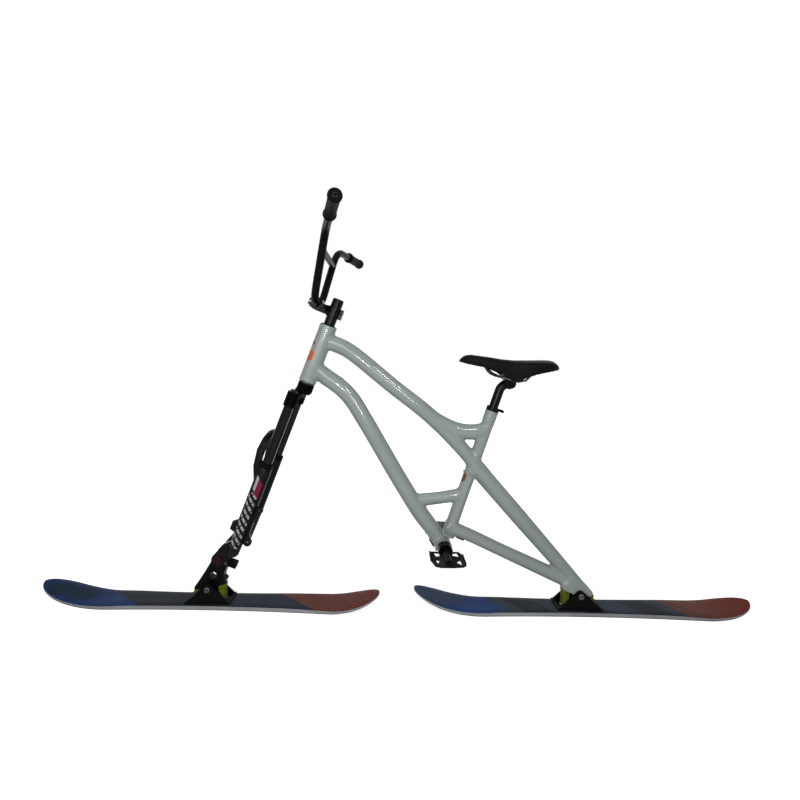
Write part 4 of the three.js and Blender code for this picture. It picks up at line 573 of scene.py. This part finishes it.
def deck_material(end):
    """A printed top sheet: blue front, slate middle and rust red rear with fine slanting lines."""
    s = Shader(f"{end}_deck_print")
    x, y, _ = s.axes()
    x = s.minus(x, SKI_MIDDLES[end] * MM)
    broad = s.noise(scale=14.0)

    def past(near, far, width=0.003):
        slope = s.times(s.plus(y, DECK_HALF), (far - near) / (2 * DECK_HALF))
        return s.span(s.minus(x, s.plus(slope, near)), -width / 2, width / 2)

    def slanted(angle):
        return s.plus(s.times(x, math.cos(angle)), s.times(y, math.sin(angle)))

    def lines(angle, pitch, share, blur=0.14):
        wave = s.math("FRACT", s.over(slanted(angle), pitch))
        return s.span(s.size(s.minus(wave, 0.5)), share / 2, share / 2 + blur)

    def facets(angle, pitch, shift, edge, width=0.02):
        wave = s.math("FRACT", s.plus(s.over(slanted(math.radians(angle)), pitch), shift))
        return s.span(wave, edge, edge + width)

    blue = s.blend(s.span(broad, 0.35, 0.65), *DECK_BLUE)
    slate = s.vary(broad, DECK_SLATE)
    red = s.vary(broad, DECK_RED)
    red_edge = past(*DECK_EDGES[end]["red"])
    if end == "front":
        blue = s.over_print(blue, lines(*DECK_BLUE_LINES, share=0.42), DECK_BLUE_LINE, strength=0.62)
        from_wing = s.minus(x, DECK_WING_MIDDLE)
        wing = s.plus(s.times(from_wing, from_wing), s.times(y, y, DECK_WING_SQUASH))
        wing = s.plus(s.math("SQRT", wing), s.times(s.minus(broad, 0.5), DECK_WING_RAGGED))
        blue = s.over_print(blue, s.span(wing, *DECK_WING_SIZE), DECK_WING, strength=0.8)
        slate = s.over_print(slate, past(*DECK_COOL_EDGE), DECK_COOL[end], strength=0.6)
    else:
        grain = s.noise(scale=70.0, detail=5.0, rough=0.7)
        cut = facets(angle=-50, pitch=0.17, shift=0.35, edge=0.52)
        blue = s.over_print(blue, cut, DECK_BLUE_CUT, strength=0.7)
        blue = s.over_print(blue, s.span(grain, 0.5, 0.65), DECK_BLUE_GRAIN, strength=0.3)
        cool = facets(angle=40, pitch=0.13, shift=0.2, edge=0.5)
        slate = s.over_print(slate, cool, DECK_COOL[end], strength=0.7)
    red = s.blend(s.span(x, *DECK_TAIL, 0.0, DECK_TAIL_STRENGTH), red, DECK_TAIL_RED)
    red = s.over_print(red, lines(*DECK_RED_LINES, share=0.35), DECK_RED_LINE, DECK_RED_STRENGTH[end])
    if end == "rear":
        band = s.times(red_edge, s.minus(1.0, past(*DECK_BAND_EDGE)))
        red = s.over_print(red, band, DECK_BAND, strength=0.55)
    tone = s.blend(past(*DECK_EDGES[end]["blue"]), blue, slate)
    tone = s.blend(red_edge, tone, red)
    scuff = s.span(s.noise(scale=90.0, detail=6.0, rough=0.7), 0.62, 0.75)
    tone = s.over_print(tone, scuff, DECK_SCUFF, strength=0.12)
    s.set(Base_Color=tone, Roughness=s.spread(s.noise(scale=120.0, detail=4.0), 0.34, 0.46),
          Specular_IOR_Level=0.03, Normal=s.bump(s.noise(scale=300.0), 0.00003))
    return s.material


# Shading of the carried-over nodes

def smooth_group(limit, weld_distance=0.00001):
    """A node group that joins split corners and smooths faces that meet below the limit angle."""
    group = bpy.data.node_groups.new("smooth_faces", "GeometryNodeTree")
    group.interface.new_socket("Geometry", in_out="INPUT", socket_type="NodeSocketGeometry")
    group.interface.new_socket("Geometry", in_out="OUTPUT", socket_type="NodeSocketGeometry")
    nodes, links = group.nodes, group.links
    start, end = nodes.new("NodeGroupInput"), nodes.new("NodeGroupOutput")
    drop = nodes.new("GeometryNodeRemoveAttribute")
    drop.inputs["Name"].default_value = "custom_normal"
    weld = nodes.new("GeometryNodeMergeByDistance")
    weld.inputs["Distance"].default_value = weld_distance
    faces = nodes.new("GeometryNodeSetShadeSmooth")
    edges = nodes.new("GeometryNodeSetShadeSmooth")
    edges.domain = "EDGE"
    edges.inputs["Shade Smooth"].default_value = False
    angle = nodes.new("GeometryNodeInputMeshEdgeAngle")
    over = nodes.new("FunctionNodeCompare")
    over.operation = "GREATER_THAN"
    over.inputs[1].default_value = limit
    links.new(start.outputs[0], drop.inputs["Geometry"])
    links.new(drop.outputs[0], weld.inputs["Geometry"])
    links.new(weld.outputs[0], faces.inputs["Geometry"])
    links.new(faces.outputs[0], edges.inputs["Geometry"])
    links.new(angle.outputs["Unsigned Angle"], over.inputs[0])
    links.new(over.outputs[0], edges.inputs["Selection"])
    links.new(edges.outputs[0], end.inputs[0])
    return group


SMOOTH = smooth_group(math.radians(34))


def dress(node, material):
    piece = frame["nodes"][node]
    piece.data.materials.clear()
    piece.data.materials.append(material)
    modifier = piece.modifiers.new("smooth_faces", "NODES")
    modifier.node_group = SMOOTH


# Mesh helpers

def unit(vector):
    return vector / np.linalg.norm(vector)


def circle(sides):
    """The angles of evenly spaced points around a circle."""
    return [2 * math.pi * k / sides for k in range(sides)]


def cosine_shares(count):
    """Shares from 0 to 1 that lie closer together at both ends."""
    return [0.5 - 0.5 * math.cos(math.pi * i / count) for i in range(count + 1)]


def to_metres(points):
    return [(x * MM, y * MM, z * MM) for x, y, z in points]


def shade_smooth(mesh):
    for polygon in mesh.polygons:
        polygon.use_smooth = True


def new_object(name, verts, faces, materials, indices=None, smooth=True):
    mesh = bpy.data.meshes.new(name)
    mesh.from_pydata([tuple(v) for v in verts], [], faces)
    mesh.validate()
    for material in materials:
        mesh.materials.append(material)
    for polygon, index in zip(mesh.polygons, indices or []):
        polygon.material_index = index
    obj = bpy.data.objects.new(name, mesh)
    bpy.context.scene.collection.objects.link(obj)
    if smooth:
        shade_smooth(mesh)
    return obj


def join_by_voxels(obj, size):
    """Adds the modifier that joins overlapping closed forms into one skin."""
    join = obj.modifiers.new("join", "REMESH")
    join.mode = "VOXEL"
    join.voxel_size = size


def settle(obj, material):
    """Turns an object's modifiers into plain faces, smooth and of one material."""
    bpy.context.view_layer.update()
    solid = obj.evaluated_get(bpy.context.evaluated_depsgraph_get())
    mesh = bpy.data.meshes.new_from_object(solid)
    obj.modifiers.clear()
    obj.data = mesh
    mesh.materials.clear()
    mesh.materials.append(material)
    shade_smooth(mesh)
    return mesh


def loft(rings, caps=True):
    """Points and faces between rings of equal count, with flat ends."""
    count = len(rings[0])
    verts = [p for ring in rings for p in ring]
    faces = []
    for i in range(len(rings) - 1):
        for k in range(count):
            a, b = i * count + k, i * count + (k + 1) % count
            faces.append((a, b, b + count, a + count))
    if caps:
        faces.append(tuple(reversed(range(count))))
        faces.append(tuple(range(len(verts) - count, len(verts))))
    return verts, faces


# Frame

def curve_points(route, count):
    """Points on a centripetal curve through the route, with the slope at each."""
    pts = [np.array(p, float) for p in route]
    ends = [2 * pts[0] - pts[1]] + pts + [2 * pts[-1] - pts[-2]]
    places = []
    for i in range(count + 1):
        spot = (len(pts) - 1) * i / count
        k = min(int(spot), len(pts) - 2)
        w = spot - k
        p0, p1, p2, p3 = ends[k:k + 4]
        d0, d1, d2 = (max(np.linalg.norm(b - a), 1e-6) ** 0.5 for a, b in ((p0, p1), (p1, p2), (p2, p3)))
        t1 = ((p1 - p0) / d0 - (p2 - p0) / (d0 + d1) + (p2 - p1) / d1) * d1
        t2 = ((p2 - p1) / d1 - (p3 - p1) / (d1 + d2) + (p3 - p2) / d2) * d1
        places.append(p1 + t1 * w + (-3 * p1 + 3 * p2 - 2 * t1 - t2) * w * w
                      + (2 * p1 - 2 * p2 + t1 + t2) * w ** 3)
    places = np.array(places)
    slopes = np.gradient(places, axis=0)
    return places, slopes / np.linalg.norm(slopes, axis=1)[:, None]


class Tube:
    """A tube whose middle line lies in the middle plane, with an oval section."""

    def __init__(self, route, depths, widths, count=CURVED_SAMPLES):
        self.places, self.slopes = curve_points(route, count)
        shares = np.linspace(0, len(depths) - 1, count + 1)
        self.depths = np.interp(shares, range(len(depths)), depths)
        self.widths = np.interp(shares, range(len(widths)), widths)
        self.ups = np.stack([-self.slopes[:, 1], self.slopes[:, 0]], 1)

    def point(self, spot, angle, grow=0.0):
        """The surface point at a sample number, which may lie between two samples."""
        k = min(int(spot), len(self.places) - 2)
        w = spot - k
        centre, up, depth, width = (row[k] * (1 - w) + row[k + 1] * w
                                    for row in (self.places, self.ups, self.depths, self.widths))
        flat = centre + up * (depth + grow) * math.cos(angle)
        return np.array([flat[0], (width + grow) * math.sin(angle), flat[1]])

    def value(self, p):
        """Below 1 inside the tube and above 1 outside."""
        flat = np.array([p[0], p[2]])
        k = int(np.argmin(np.sum((self.places - flat) ** 2, axis=1)))
        offset = flat - self.places[k]
        across = offset @ self.ups[k]
        beyond = abs(offset @ self.slopes[k])
        step = np.linalg.norm(self.places[1] - self.places[0])
        if beyond > step * 2 and k in (0, len(self.places) - 1):
            return 2.0
        return math.hypot(across / self.depths[k], p[1] / self.widths[k])

    def rings(self):
        top = len(self.places) - 1.000001
        return [[self.point(min(i, top), angle) for angle in circle(TUBE_SIDES)]
                for i in range(len(self.places))]


class BracketShell:
    """The round shell across the frame, for the search of the weld beads."""

    def value(self, p):
        return math.hypot(p[0] - SHELL[0], p[2] - SHELL[1]) / SHELL_RADIUS


def straight(start, end, radius):
    first, along = np.array(start), np.array(end) - np.array(start)
    line = [tuple(first + along * i / 3) for i in range(4)]
    return Tube(line, [radius] * 4, [radius] * 4, STRAIGHT_SAMPLES)


def bead_line(tube, others, start, stop):
    """The closed line where a tube's skin comes out of its neighbours, from sample start towards stop."""
    loop = []
    for angle in circle(TUBE_SIDES):
        last = start
        for spot in np.linspace(start, stop, BEAD_TRIES):
            if all(other.value(tube.point(spot, angle)) > 1 for other in others):
                break
            last = spot
        loop.append(tube.point(last, angle, BEAD_LIFT))
    loop = np.array(loop)
    for _ in range(3):
        loop = (np.roll(loop, 1, 0) + loop * 2 + np.roll(loop, -1, 0)) / 4
    return loop


def weld_bead(name, tube, others, start, stop, material):
    """A scalloped bead along the line where a tube comes out of its neighbours."""
    loop = bead_line(tube, others, start, stop)
    closed = np.vstack([loop, loop[:1]])
    gaps = np.linalg.norm(np.diff(closed, axis=0), axis=1)
    marks = np.concatenate([[0], np.cumsum(gaps)])
    length = float(marks[-1])
    steps = int(length / BEAD_STEP)
    wanted = np.linspace(0, marks[-1], steps, endpoint=False)
    fine = np.stack([np.interp(wanted, marks, closed[:, a]) for a in range(3)], 1)
    slopes = np.roll(fine, -1, 0) - np.roll(fine, 1, 0)
    slopes /= np.linalg.norm(slopes, axis=1)[:, None]
    centre = fine.mean(axis=0)
    rings = []
    ripples = max(int(length / BEAD_RIPPLE), BEAD_LEAST_RIPPLES)
    for i, (place, slope) in enumerate(zip(fine, slopes)):
        phase = (i / steps * ripples) % 1
        size = BEAD_RADIUS * (BEAD_NARROW + BEAD_SWELL * math.sin(math.pi * phase) ** BEAD_SWELL_POWER)
        out = place - centre
        out = unit(out - slope * (out @ slope))
        side = np.cross(slope, out)
        rings.append([place + (out * math.cos(a) * BEAD_TALL + side * math.sin(a) * BEAD_WIDE) * size
                      for a in circle(BEAD_SIDES)])
    verts, faces = loft(rings + [rings[0]], caps=False)
    bead = new_object(name, to_metres(verts), faces, [material])
    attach(bead, body_of["frame"])


def lathe_rings(profile, place, axis):
    """Rings of a turned shape: profile holds (radius, height) pairs along the axis from the place."""
    axis = unit(np.array(axis, float))
    first = np.cross(axis, (0, 1, 0)) if abs(axis[1]) < 0.9 else np.cross(axis, (1, 0, 0))
    first /= np.linalg.norm(first)
    second = np.cross(axis, first)
    return [[np.array(place) + axis * h + (first * math.cos(a) + second * math.sin(a)) * r
             for a in circle(LATHE_SIDES)] for r, h in profile]


def lug_outline():
    """The rear pivot's lug, seen from the side."""
    turn = [(math.cos(math.radians(a)), math.sin(math.radians(a))) for a in LUG_TURN]
    return [(REAR_PIVOT[0] + LUG_RADIUS * a, REAR_PIVOT[1] + LUG_RADIUS * b)
            for a, b in LUG_BACK + turn + LUG_FRONT]


def smoothing_shares(place, seat_axis):
    """How far each point of the frame's skin is smoothed: little at rims and lug, fully elsewhere."""
    from_foot = (place[:, 0] - HEAD_FOOT[0] * MM, place[:, 2] - HEAD_FOOT[1] * MM)
    along = from_foot[0] * STEER[0] + from_foot[1] * STEER[1]
    off = from_foot[0] * STEER[1] - from_foot[1] * STEER[0]
    from_top = (place[:, 0] - SEAT_TOP[0] * MM, place[:, 2] - SEAT_TOP[1] * MM)
    rise = from_top[0] * seat_axis[0] + from_top[1] * seat_axis[2]
    keep = np.ones(len(place))
    keep[(np.abs(off) < HEAD_ZONE) & (np.minimum(along, HEAD_LENGTH * MM - along) < HEAD_RIM)] = RIM_SHARE
    keep[np.abs(place[:, 1]) > SHELL_RIM] = RIM_SHARE
    keep[(rise > SEAT_RIM) & (place[:, 0] > SEAT_ZONE)] = SEAT_RIM_SHARE
    keep[(place[:, 2] < LUG_ZONE[1]) & (place[:, 0] > LUG_ZONE[0])] = LUG_SHARE
    return keep[:, None]


def smooth_skin(mesh, seat_axis):
    """Moves each point towards the middle of its neighbours, so that the tubes flow into each other."""
    place = np.empty(len(mesh.vertices) * 3)
    mesh.vertices.foreach_get("co", place)
    place = place.reshape(-1, 3)
    edges = np.empty(len(mesh.edges) * 2, dtype=int)
    mesh.edges.foreach_get("vertices", edges)
    edges = edges.reshape(-1, 2)
    degree = np.bincount(edges.ravel(), minlength=len(place))[:, None]
    keep = smoothing_shares(place, seat_axis)
    for _ in range(FRAME_ROUNDS):
        total = np.zeros_like(place)
        for a in range(3):
            total[:, a] = (np.bincount(edges[:, 0], weights=place[edges[:, 1], a], minlength=len(place))
                           + np.bincount(edges[:, 1], weights=place[edges[:, 0], a], minlength=len(place)))
        place += (total / np.maximum(degree, 1) - place) * FRAME_STRENGTH * keep
    mesh.vertices.foreach_set("co", place.ravel())


def make_frame(material):
    """The welded frame: tubes, rims, shell and lug joined into one skin, with beads at the joints."""
    head_top = (HEAD_FOOT[0] + STEER[0] * HEAD_LENGTH, HEAD_FOOT[1] + STEER[1] * HEAD_LENGTH)
    seat_line = unit(np.array(SEAT_TOP, float) - np.array(SEAT_FOOT, float))
    seat_end = tuple(np.array(SEAT_TOP) - seat_line * (NECK_LENGTH + SEAT_STOP))
    seat_axis = unit(np.array([SEAT_TOP[0] - SEAT_FOOT[0], 0, SEAT_TOP[1] - SEAT_FOOT[1]], float))
    tubes = {
        "top": Tube(**TOP_TUBE), "branch": Tube(**BRANCH), "down": Tube(**DOWN_TUBE), "brace": Tube(**BRACE),
        "stay": Tube(**LOWER_STAY), "seat": straight(SEAT_FOOT, seat_end, SEAT_RADIUS),
    }
    forms = [tube.rings() for tube in tubes.values()]
    forms.append(lathe_rings([(HEAD_RADIUS, 0), (HEAD_RADIUS, HEAD_LENGTH)],
                             (HEAD_FOOT[0], 0, HEAD_FOOT[1]), (STEER[0], 0, STEER[1])))
    forms.append(lathe_rings([(SEAT_RADIUS, -SLEEVE_LENGTH - SLEEVE_RADIUS), (SLEEVE_RADIUS, -SLEEVE_LENGTH),
                              (SLEEVE_RADIUS, -NECK_LENGTH), (NECK_RADIUS, -NECK_LENGTH), (NECK_RADIUS, 0)],
                             (SEAT_TOP[0], 0, SEAT_TOP[1]), seat_axis))
    forms.append(lathe_rings([(SHELL_RADIUS, -SHELL_HALF_WIDTH), (SHELL_RADIUS, SHELL_HALF_WIDTH)],
                             (SHELL[0], 0, SHELL[1]), (0, 1, 0)))
    forms.append([[(x, side, z) for x, z in lug_outline()] for side in (-LUG_HALF_WIDTH, LUG_HALF_WIDTH)])
    verts, faces = [], []
    for rings in forms:
        points, sides = loft(rings)
        faces.extend(tuple(i + len(verts) for i in face) for face in sides)
        verts.extend(points)
    shell = new_object("frame_skin", to_metres(verts), faces, [material])
    join_by_voxels(shell, FRAME_VOXEL)
    smooth_skin(settle(shell, material), seat_axis)
    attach(shell, body_of["frame"])
    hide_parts("frame")
    tubes.update(head=straight(HEAD_FOOT, head_top, HEAD_RADIUS), shell=BracketShell())
    for name, (tube, others, start, stop) in WELDS.items():
        weld_bead(name, tubes[tube], [tubes[other] for other in others], start, stop, material)


# Saddle cushion, as cross sections at shares of its length

def smooth_line(table, share):
    """A value from a table of (share, value) pairs, rounded between its points."""
    shares, values = zip(*table)
    spots = np.clip(share + np.linspace(-SADDLE_LINE_ROUNDING, SADDLE_LINE_ROUNDING, 9), 0, 1)
    return float(np.mean(np.interp(spots, shares, values)))


def saddle_ring(share):
    """One cross section: crown, drawn-in skirt and the hollow underside, mirrored about the middle."""
    half = smooth_line(SADDLE_HALF_WIDTHS, share)
    top = smooth_line(SADDLE_TOP, share)
    skirt = smooth_line(SADDLE_SKIRT, share)
    tall = top - skirt
    drop = min(SADDLE_EDGE_DROP, tall * SADDLE_EDGE_DROP_SHARE)
    wall = min(SADDLE_WALL, half * SADDLE_WALL_SHARE)
    padding = min(SADDLE_PADDING, tall * SADDLE_PADDING_SHARE)
    across = [math.sin(math.pi / 2 * k / SADDLE_CROWN_STEPS) for k in range(SADDLE_CROWN_STEPS + 1)]
    falls = [SADDLE_CROWN_FALL * a ** SADDLE_CROWN_POWER + SADDLE_EDGE_FALL * a ** SADDLE_EDGE_POWER
             for a in across]
    outer = [(half * a, top - drop * fall) for a, fall in zip(across, falls)]
    edge_y, edge_z = outer[-1]
    for k in range(1, SADDLE_SKIRT_STEPS + 1):
        down = k / SADDLE_SKIRT_STEPS
        tuck = 1 - SADDLE_TUCK * down ** SADDLE_TUCK_POWER
        outer.append((edge_y * tuck, edge_z + (skirt - edge_z) * down))
    inner = [(outer[-1][0] - wall, skirt + SADDLE_LIP)]
    inner_half = max(half * SADDLE_INNER_WIDTH - wall, SADDLE_INNER_LEAST)
    for a in SADDLE_INNER_SHARES:
        low = max(top - drop * a ** SADDLE_CROWN_POWER - padding, skirt + tall * SADDLE_FLOOR_SHARE)
        inner.append((inner_half * a, low))
    x = SADDLE_NOSE + SADDLE_LENGTH * share
    ring = [(x, -y, z) for y, z in reversed(outer)] + [(x, y, z) for y, z in outer[1:]]
    ring += [(x, y, z) for y, z in inner] + [(x, -y, z) for y, z in reversed(inner)]
    return ring


def make_saddle(material):
    """The padded cover: cross sections joined into one closed form, which is then softened."""
    verts, faces = loft([saddle_ring(share) for share in cosine_shares(SADDLE_STATIONS)])
    cushion = new_object("saddle_cushion_skin", to_metres(verts), faces, [material])
    join_by_voxels(cushion, SADDLE_VOXEL)
    soft = cushion.modifiers.new("soften", "SMOOTH")
    soft.factor = 0.5
    soft.iterations = SADDLE_SOFT_ROUNDS
    settle(cushion, material)
    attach(cushion, body_of["saddle_cushion"])
    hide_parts("saddle_cushion")


# Skis

def ski_section(share, tail_rise):
    """Half width, lift off the snow and thickness at a share of the ski's length."""
    from_end = min(share, 1 - share) * SKI_LENGTH
    out = abs(share - 0.5) * 2
    half = SKI_WAIST / 2 + (SKI_SHOVEL - SKI_WAIST) / 2 * min((out / SKI_WIDEST_SHARE) ** 2, 1)
    if from_end < SKI_TIP_ROUND:
        half *= math.sqrt(1 - (1 - from_end / SKI_TIP_ROUND) ** 2)
    rise, run = (tail_rise, SKI_TAIL_RUN) if share > 0.5 else (SKI_TIP_RISE, SKI_TIP_RUN)
    lift = rise * (1 - from_end / run) ** 2 if from_end < run else 0
    thick = SKI_TIP_THICKNESS + (SKI_THICKNESS - SKI_TIP_THICKNESS) * min(from_end / SKI_TAPER_RUN, 1)
    return max(half, SKI_LEAST_HALF), lift, thick


def ski_ring(x, half, foot, top):
    """One cross section: steel edge, side wall and dark line up one side, the deck, and down the other."""
    side = [(half - inset, foot + rise) for inset, rise in SKI_FOOT_SIDE]
    side += [(half - inset, top - drop) for inset, drop in SKI_TOP_SIDE]
    if half < SKI_NARROW:
        side = [(half * (SKI_POINT_SHARE + SKI_POINT_STEP * k), z) for k, (_, z) in enumerate(side)]
    ring = side + [(half * 0.5, top), (0, top), (-half * 0.5, top)]
    ring += [(-y, z) for y, z in reversed(side)] + [(0, foot)]
    return [(x * MM, y * MM, z * MM) for y, z in ring]


def make_ski(end, materials):
    """A ski of rounded layers; materials are deck, wall, base, steel edge and dark line."""
    rings = []
    for share in cosine_shares(SKI_STATIONS):
        half, lift, thick = ski_section(share, SKI_TAIL_RISES[end])
        rings.append(ski_ring(SKI_MIDDLES[end] + (share - 0.5) * SKI_LENGTH, half, lift, lift + thick))
    verts, faces = loft(rings)
    deck, wall, base, steel, line = range(len(materials))
    rising = [steel] * 3 + [wall] * 2 + [line]
    around = rising + [deck] * 6 + rising[::-1] + [base] * 2
    order = around * SKI_STATIONS + [wall] * 2
    obj = new_object(f"{end}_ski_skin", verts, faces, materials, order)
    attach(obj, body_of[f"{end}_ski"])
    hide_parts(f"{end}_ski")


# Camera, floor and light

def make_camera():
    data = bpy.data.cameras.new("camera")
    data.lens = CAMERA_LENS
    data.sensor_width = CAMERA_SENSOR
    data.shift_x, data.shift_y = CAMERA_SHIFT
    data.clip_start = CAMERA_CLIP
    camera = bpy.data.objects.new("camera", data)
    right = Vector((math.cos(CAMERA_ROLL), 0, math.sin(CAMERA_ROLL)))
    up = Vector((-math.sin(CAMERA_ROLL), 0, math.cos(CAMERA_ROLL)))
    back = Vector((0, -1, 0))
    turn = Matrix((right, up, back)).transposed().to_4x4()
    camera.matrix_world = Matrix.Translation(CAMERA_PLACE) @ turn
    bpy.context.scene.collection.objects.link(camera)
    bpy.context.scene.camera = camera


def make_world():
    """A dim, slightly cool world that the camera, metal and glass see as plain white."""
    world = bpy.data.worlds.new("studio")
    world.use_nodes = True
    bpy.context.scene.world = world
    tree = world.node_tree
    tree.nodes.clear()
    path = tree.nodes.new("ShaderNodeLightPath")
    seen = path.outputs["Is Camera Ray"]
    for ray in ("Is Transmission Ray", "Is Glossy Ray"):
        either = tree.nodes.new("ShaderNodeMath")
        either.operation = "MAXIMUM"
        tree.links.new(seen, either.inputs[0])
        tree.links.new(path.outputs[ray], either.inputs[1])
        seen = either.outputs[0]
    mix = tree.nodes.new("ShaderNodeMixShader")
    tree.links.new(seen, mix.inputs[0])
    for socket, (tint, strength) in enumerate((WORLD_LIGHT, WORLD_SEEN), start=1):
        ground = tree.nodes.new("ShaderNodeBackground")
        ground.inputs["Color"].default_value = tint
        ground.inputs["Strength"].default_value = strength
        tree.links.new(ground.outputs[0], mix.inputs[socket])
    out = tree.nodes.new("ShaderNodeOutputWorld")
    tree.links.new(mix.outputs[0], out.inputs[0])


def make_floor():
    """A white floor that keeps the shadow near the object and is plain white farther off."""
    s = Shader("floor_white")
    fine = s.noise(scale=35.0, detail=4.0)
    s.set(Base_Color=s.blend(fine, *FLOOR_TONES), Roughness=0.9, Specular_IOR_Level=0.1,
          Normal=s.bump(fine, 0.0002, 0.2))
    x, y, _ = s.axes()
    far = s.math("SQRT", s.plus(s.times(x, x, FLOOR_LENGTHWISE), s.times(y, y)))
    lift = s.span(far, *FLOOR_FADE, *FLOOR_GLOW, smooth=True)
    path = s.add("ShaderNodeLightPath")
    seen = s.math("MAXIMUM", path.outputs["Is Camera Ray"], path.outputs["Is Glossy Ray"])
    s.set(Emission_Color=(1.0, 1.0, 1.0, 1.0), Emission_Strength=s.times(seen, lift))
    corners = [(-1, -1), (1, -1), (1, 1), (-1, 1)]
    verts = [(x * FLOOR_HALF, y * FLOOR_HALF, FLOOR_HEIGHT) for x, y in corners]
    floor = new_object("studio_floor", verts, [(0, 1, 2, 3)], [s.material], smooth=False)


def make_lamp(name, place, target, size, power):
    data = bpy.data.lights.new(name, "AREA")
    data.shape = "RECTANGLE"
    data.size, data.size_y = size
    data.energy = power
    lamp = bpy.data.objects.new(name, data)
    lamp.location = place
    aim = Vector(target) - Vector(place)
    lamp.rotation_euler = aim.to_track_quat("-Z", "Y").to_euler()
    lamp.visible_glossy = name not in NOT_MIRRORED
    bpy.context.scene.collection.objects.link(lamp)


make_camera()
make_world()
make_floor()
for name, values in LAMPS.items():
    make_lamp(name, *values)

finishes = {name: finish_material(name, **values) for name, values in FINISHES.items()}
finishes.update(frame_paint=frame_material(), fork_lowers_print=fork_material(),
                saddle_cover=saddle_material(), rail_steel=rail_material())
own_finish = {node: finish for finish, nodes in NODE_FINISHES.items() for node in nodes}
for node in frame["nodes"]:
    dress(node, finishes[own_finish.get(node, slot_of[node])])

make_frame(finishes["frame_paint"])
make_saddle(finishes["saddle_cover"])
ski_layers = [finishes[name] for name in ("ski_wall", "ski_base", "ski_edge", "ski_line")]
for end in ("front", "rear"):
    make_ski(end, [deck_material(end)] + ski_layers)

bpy.context.scene.view_settings.view_transform = "Standard"
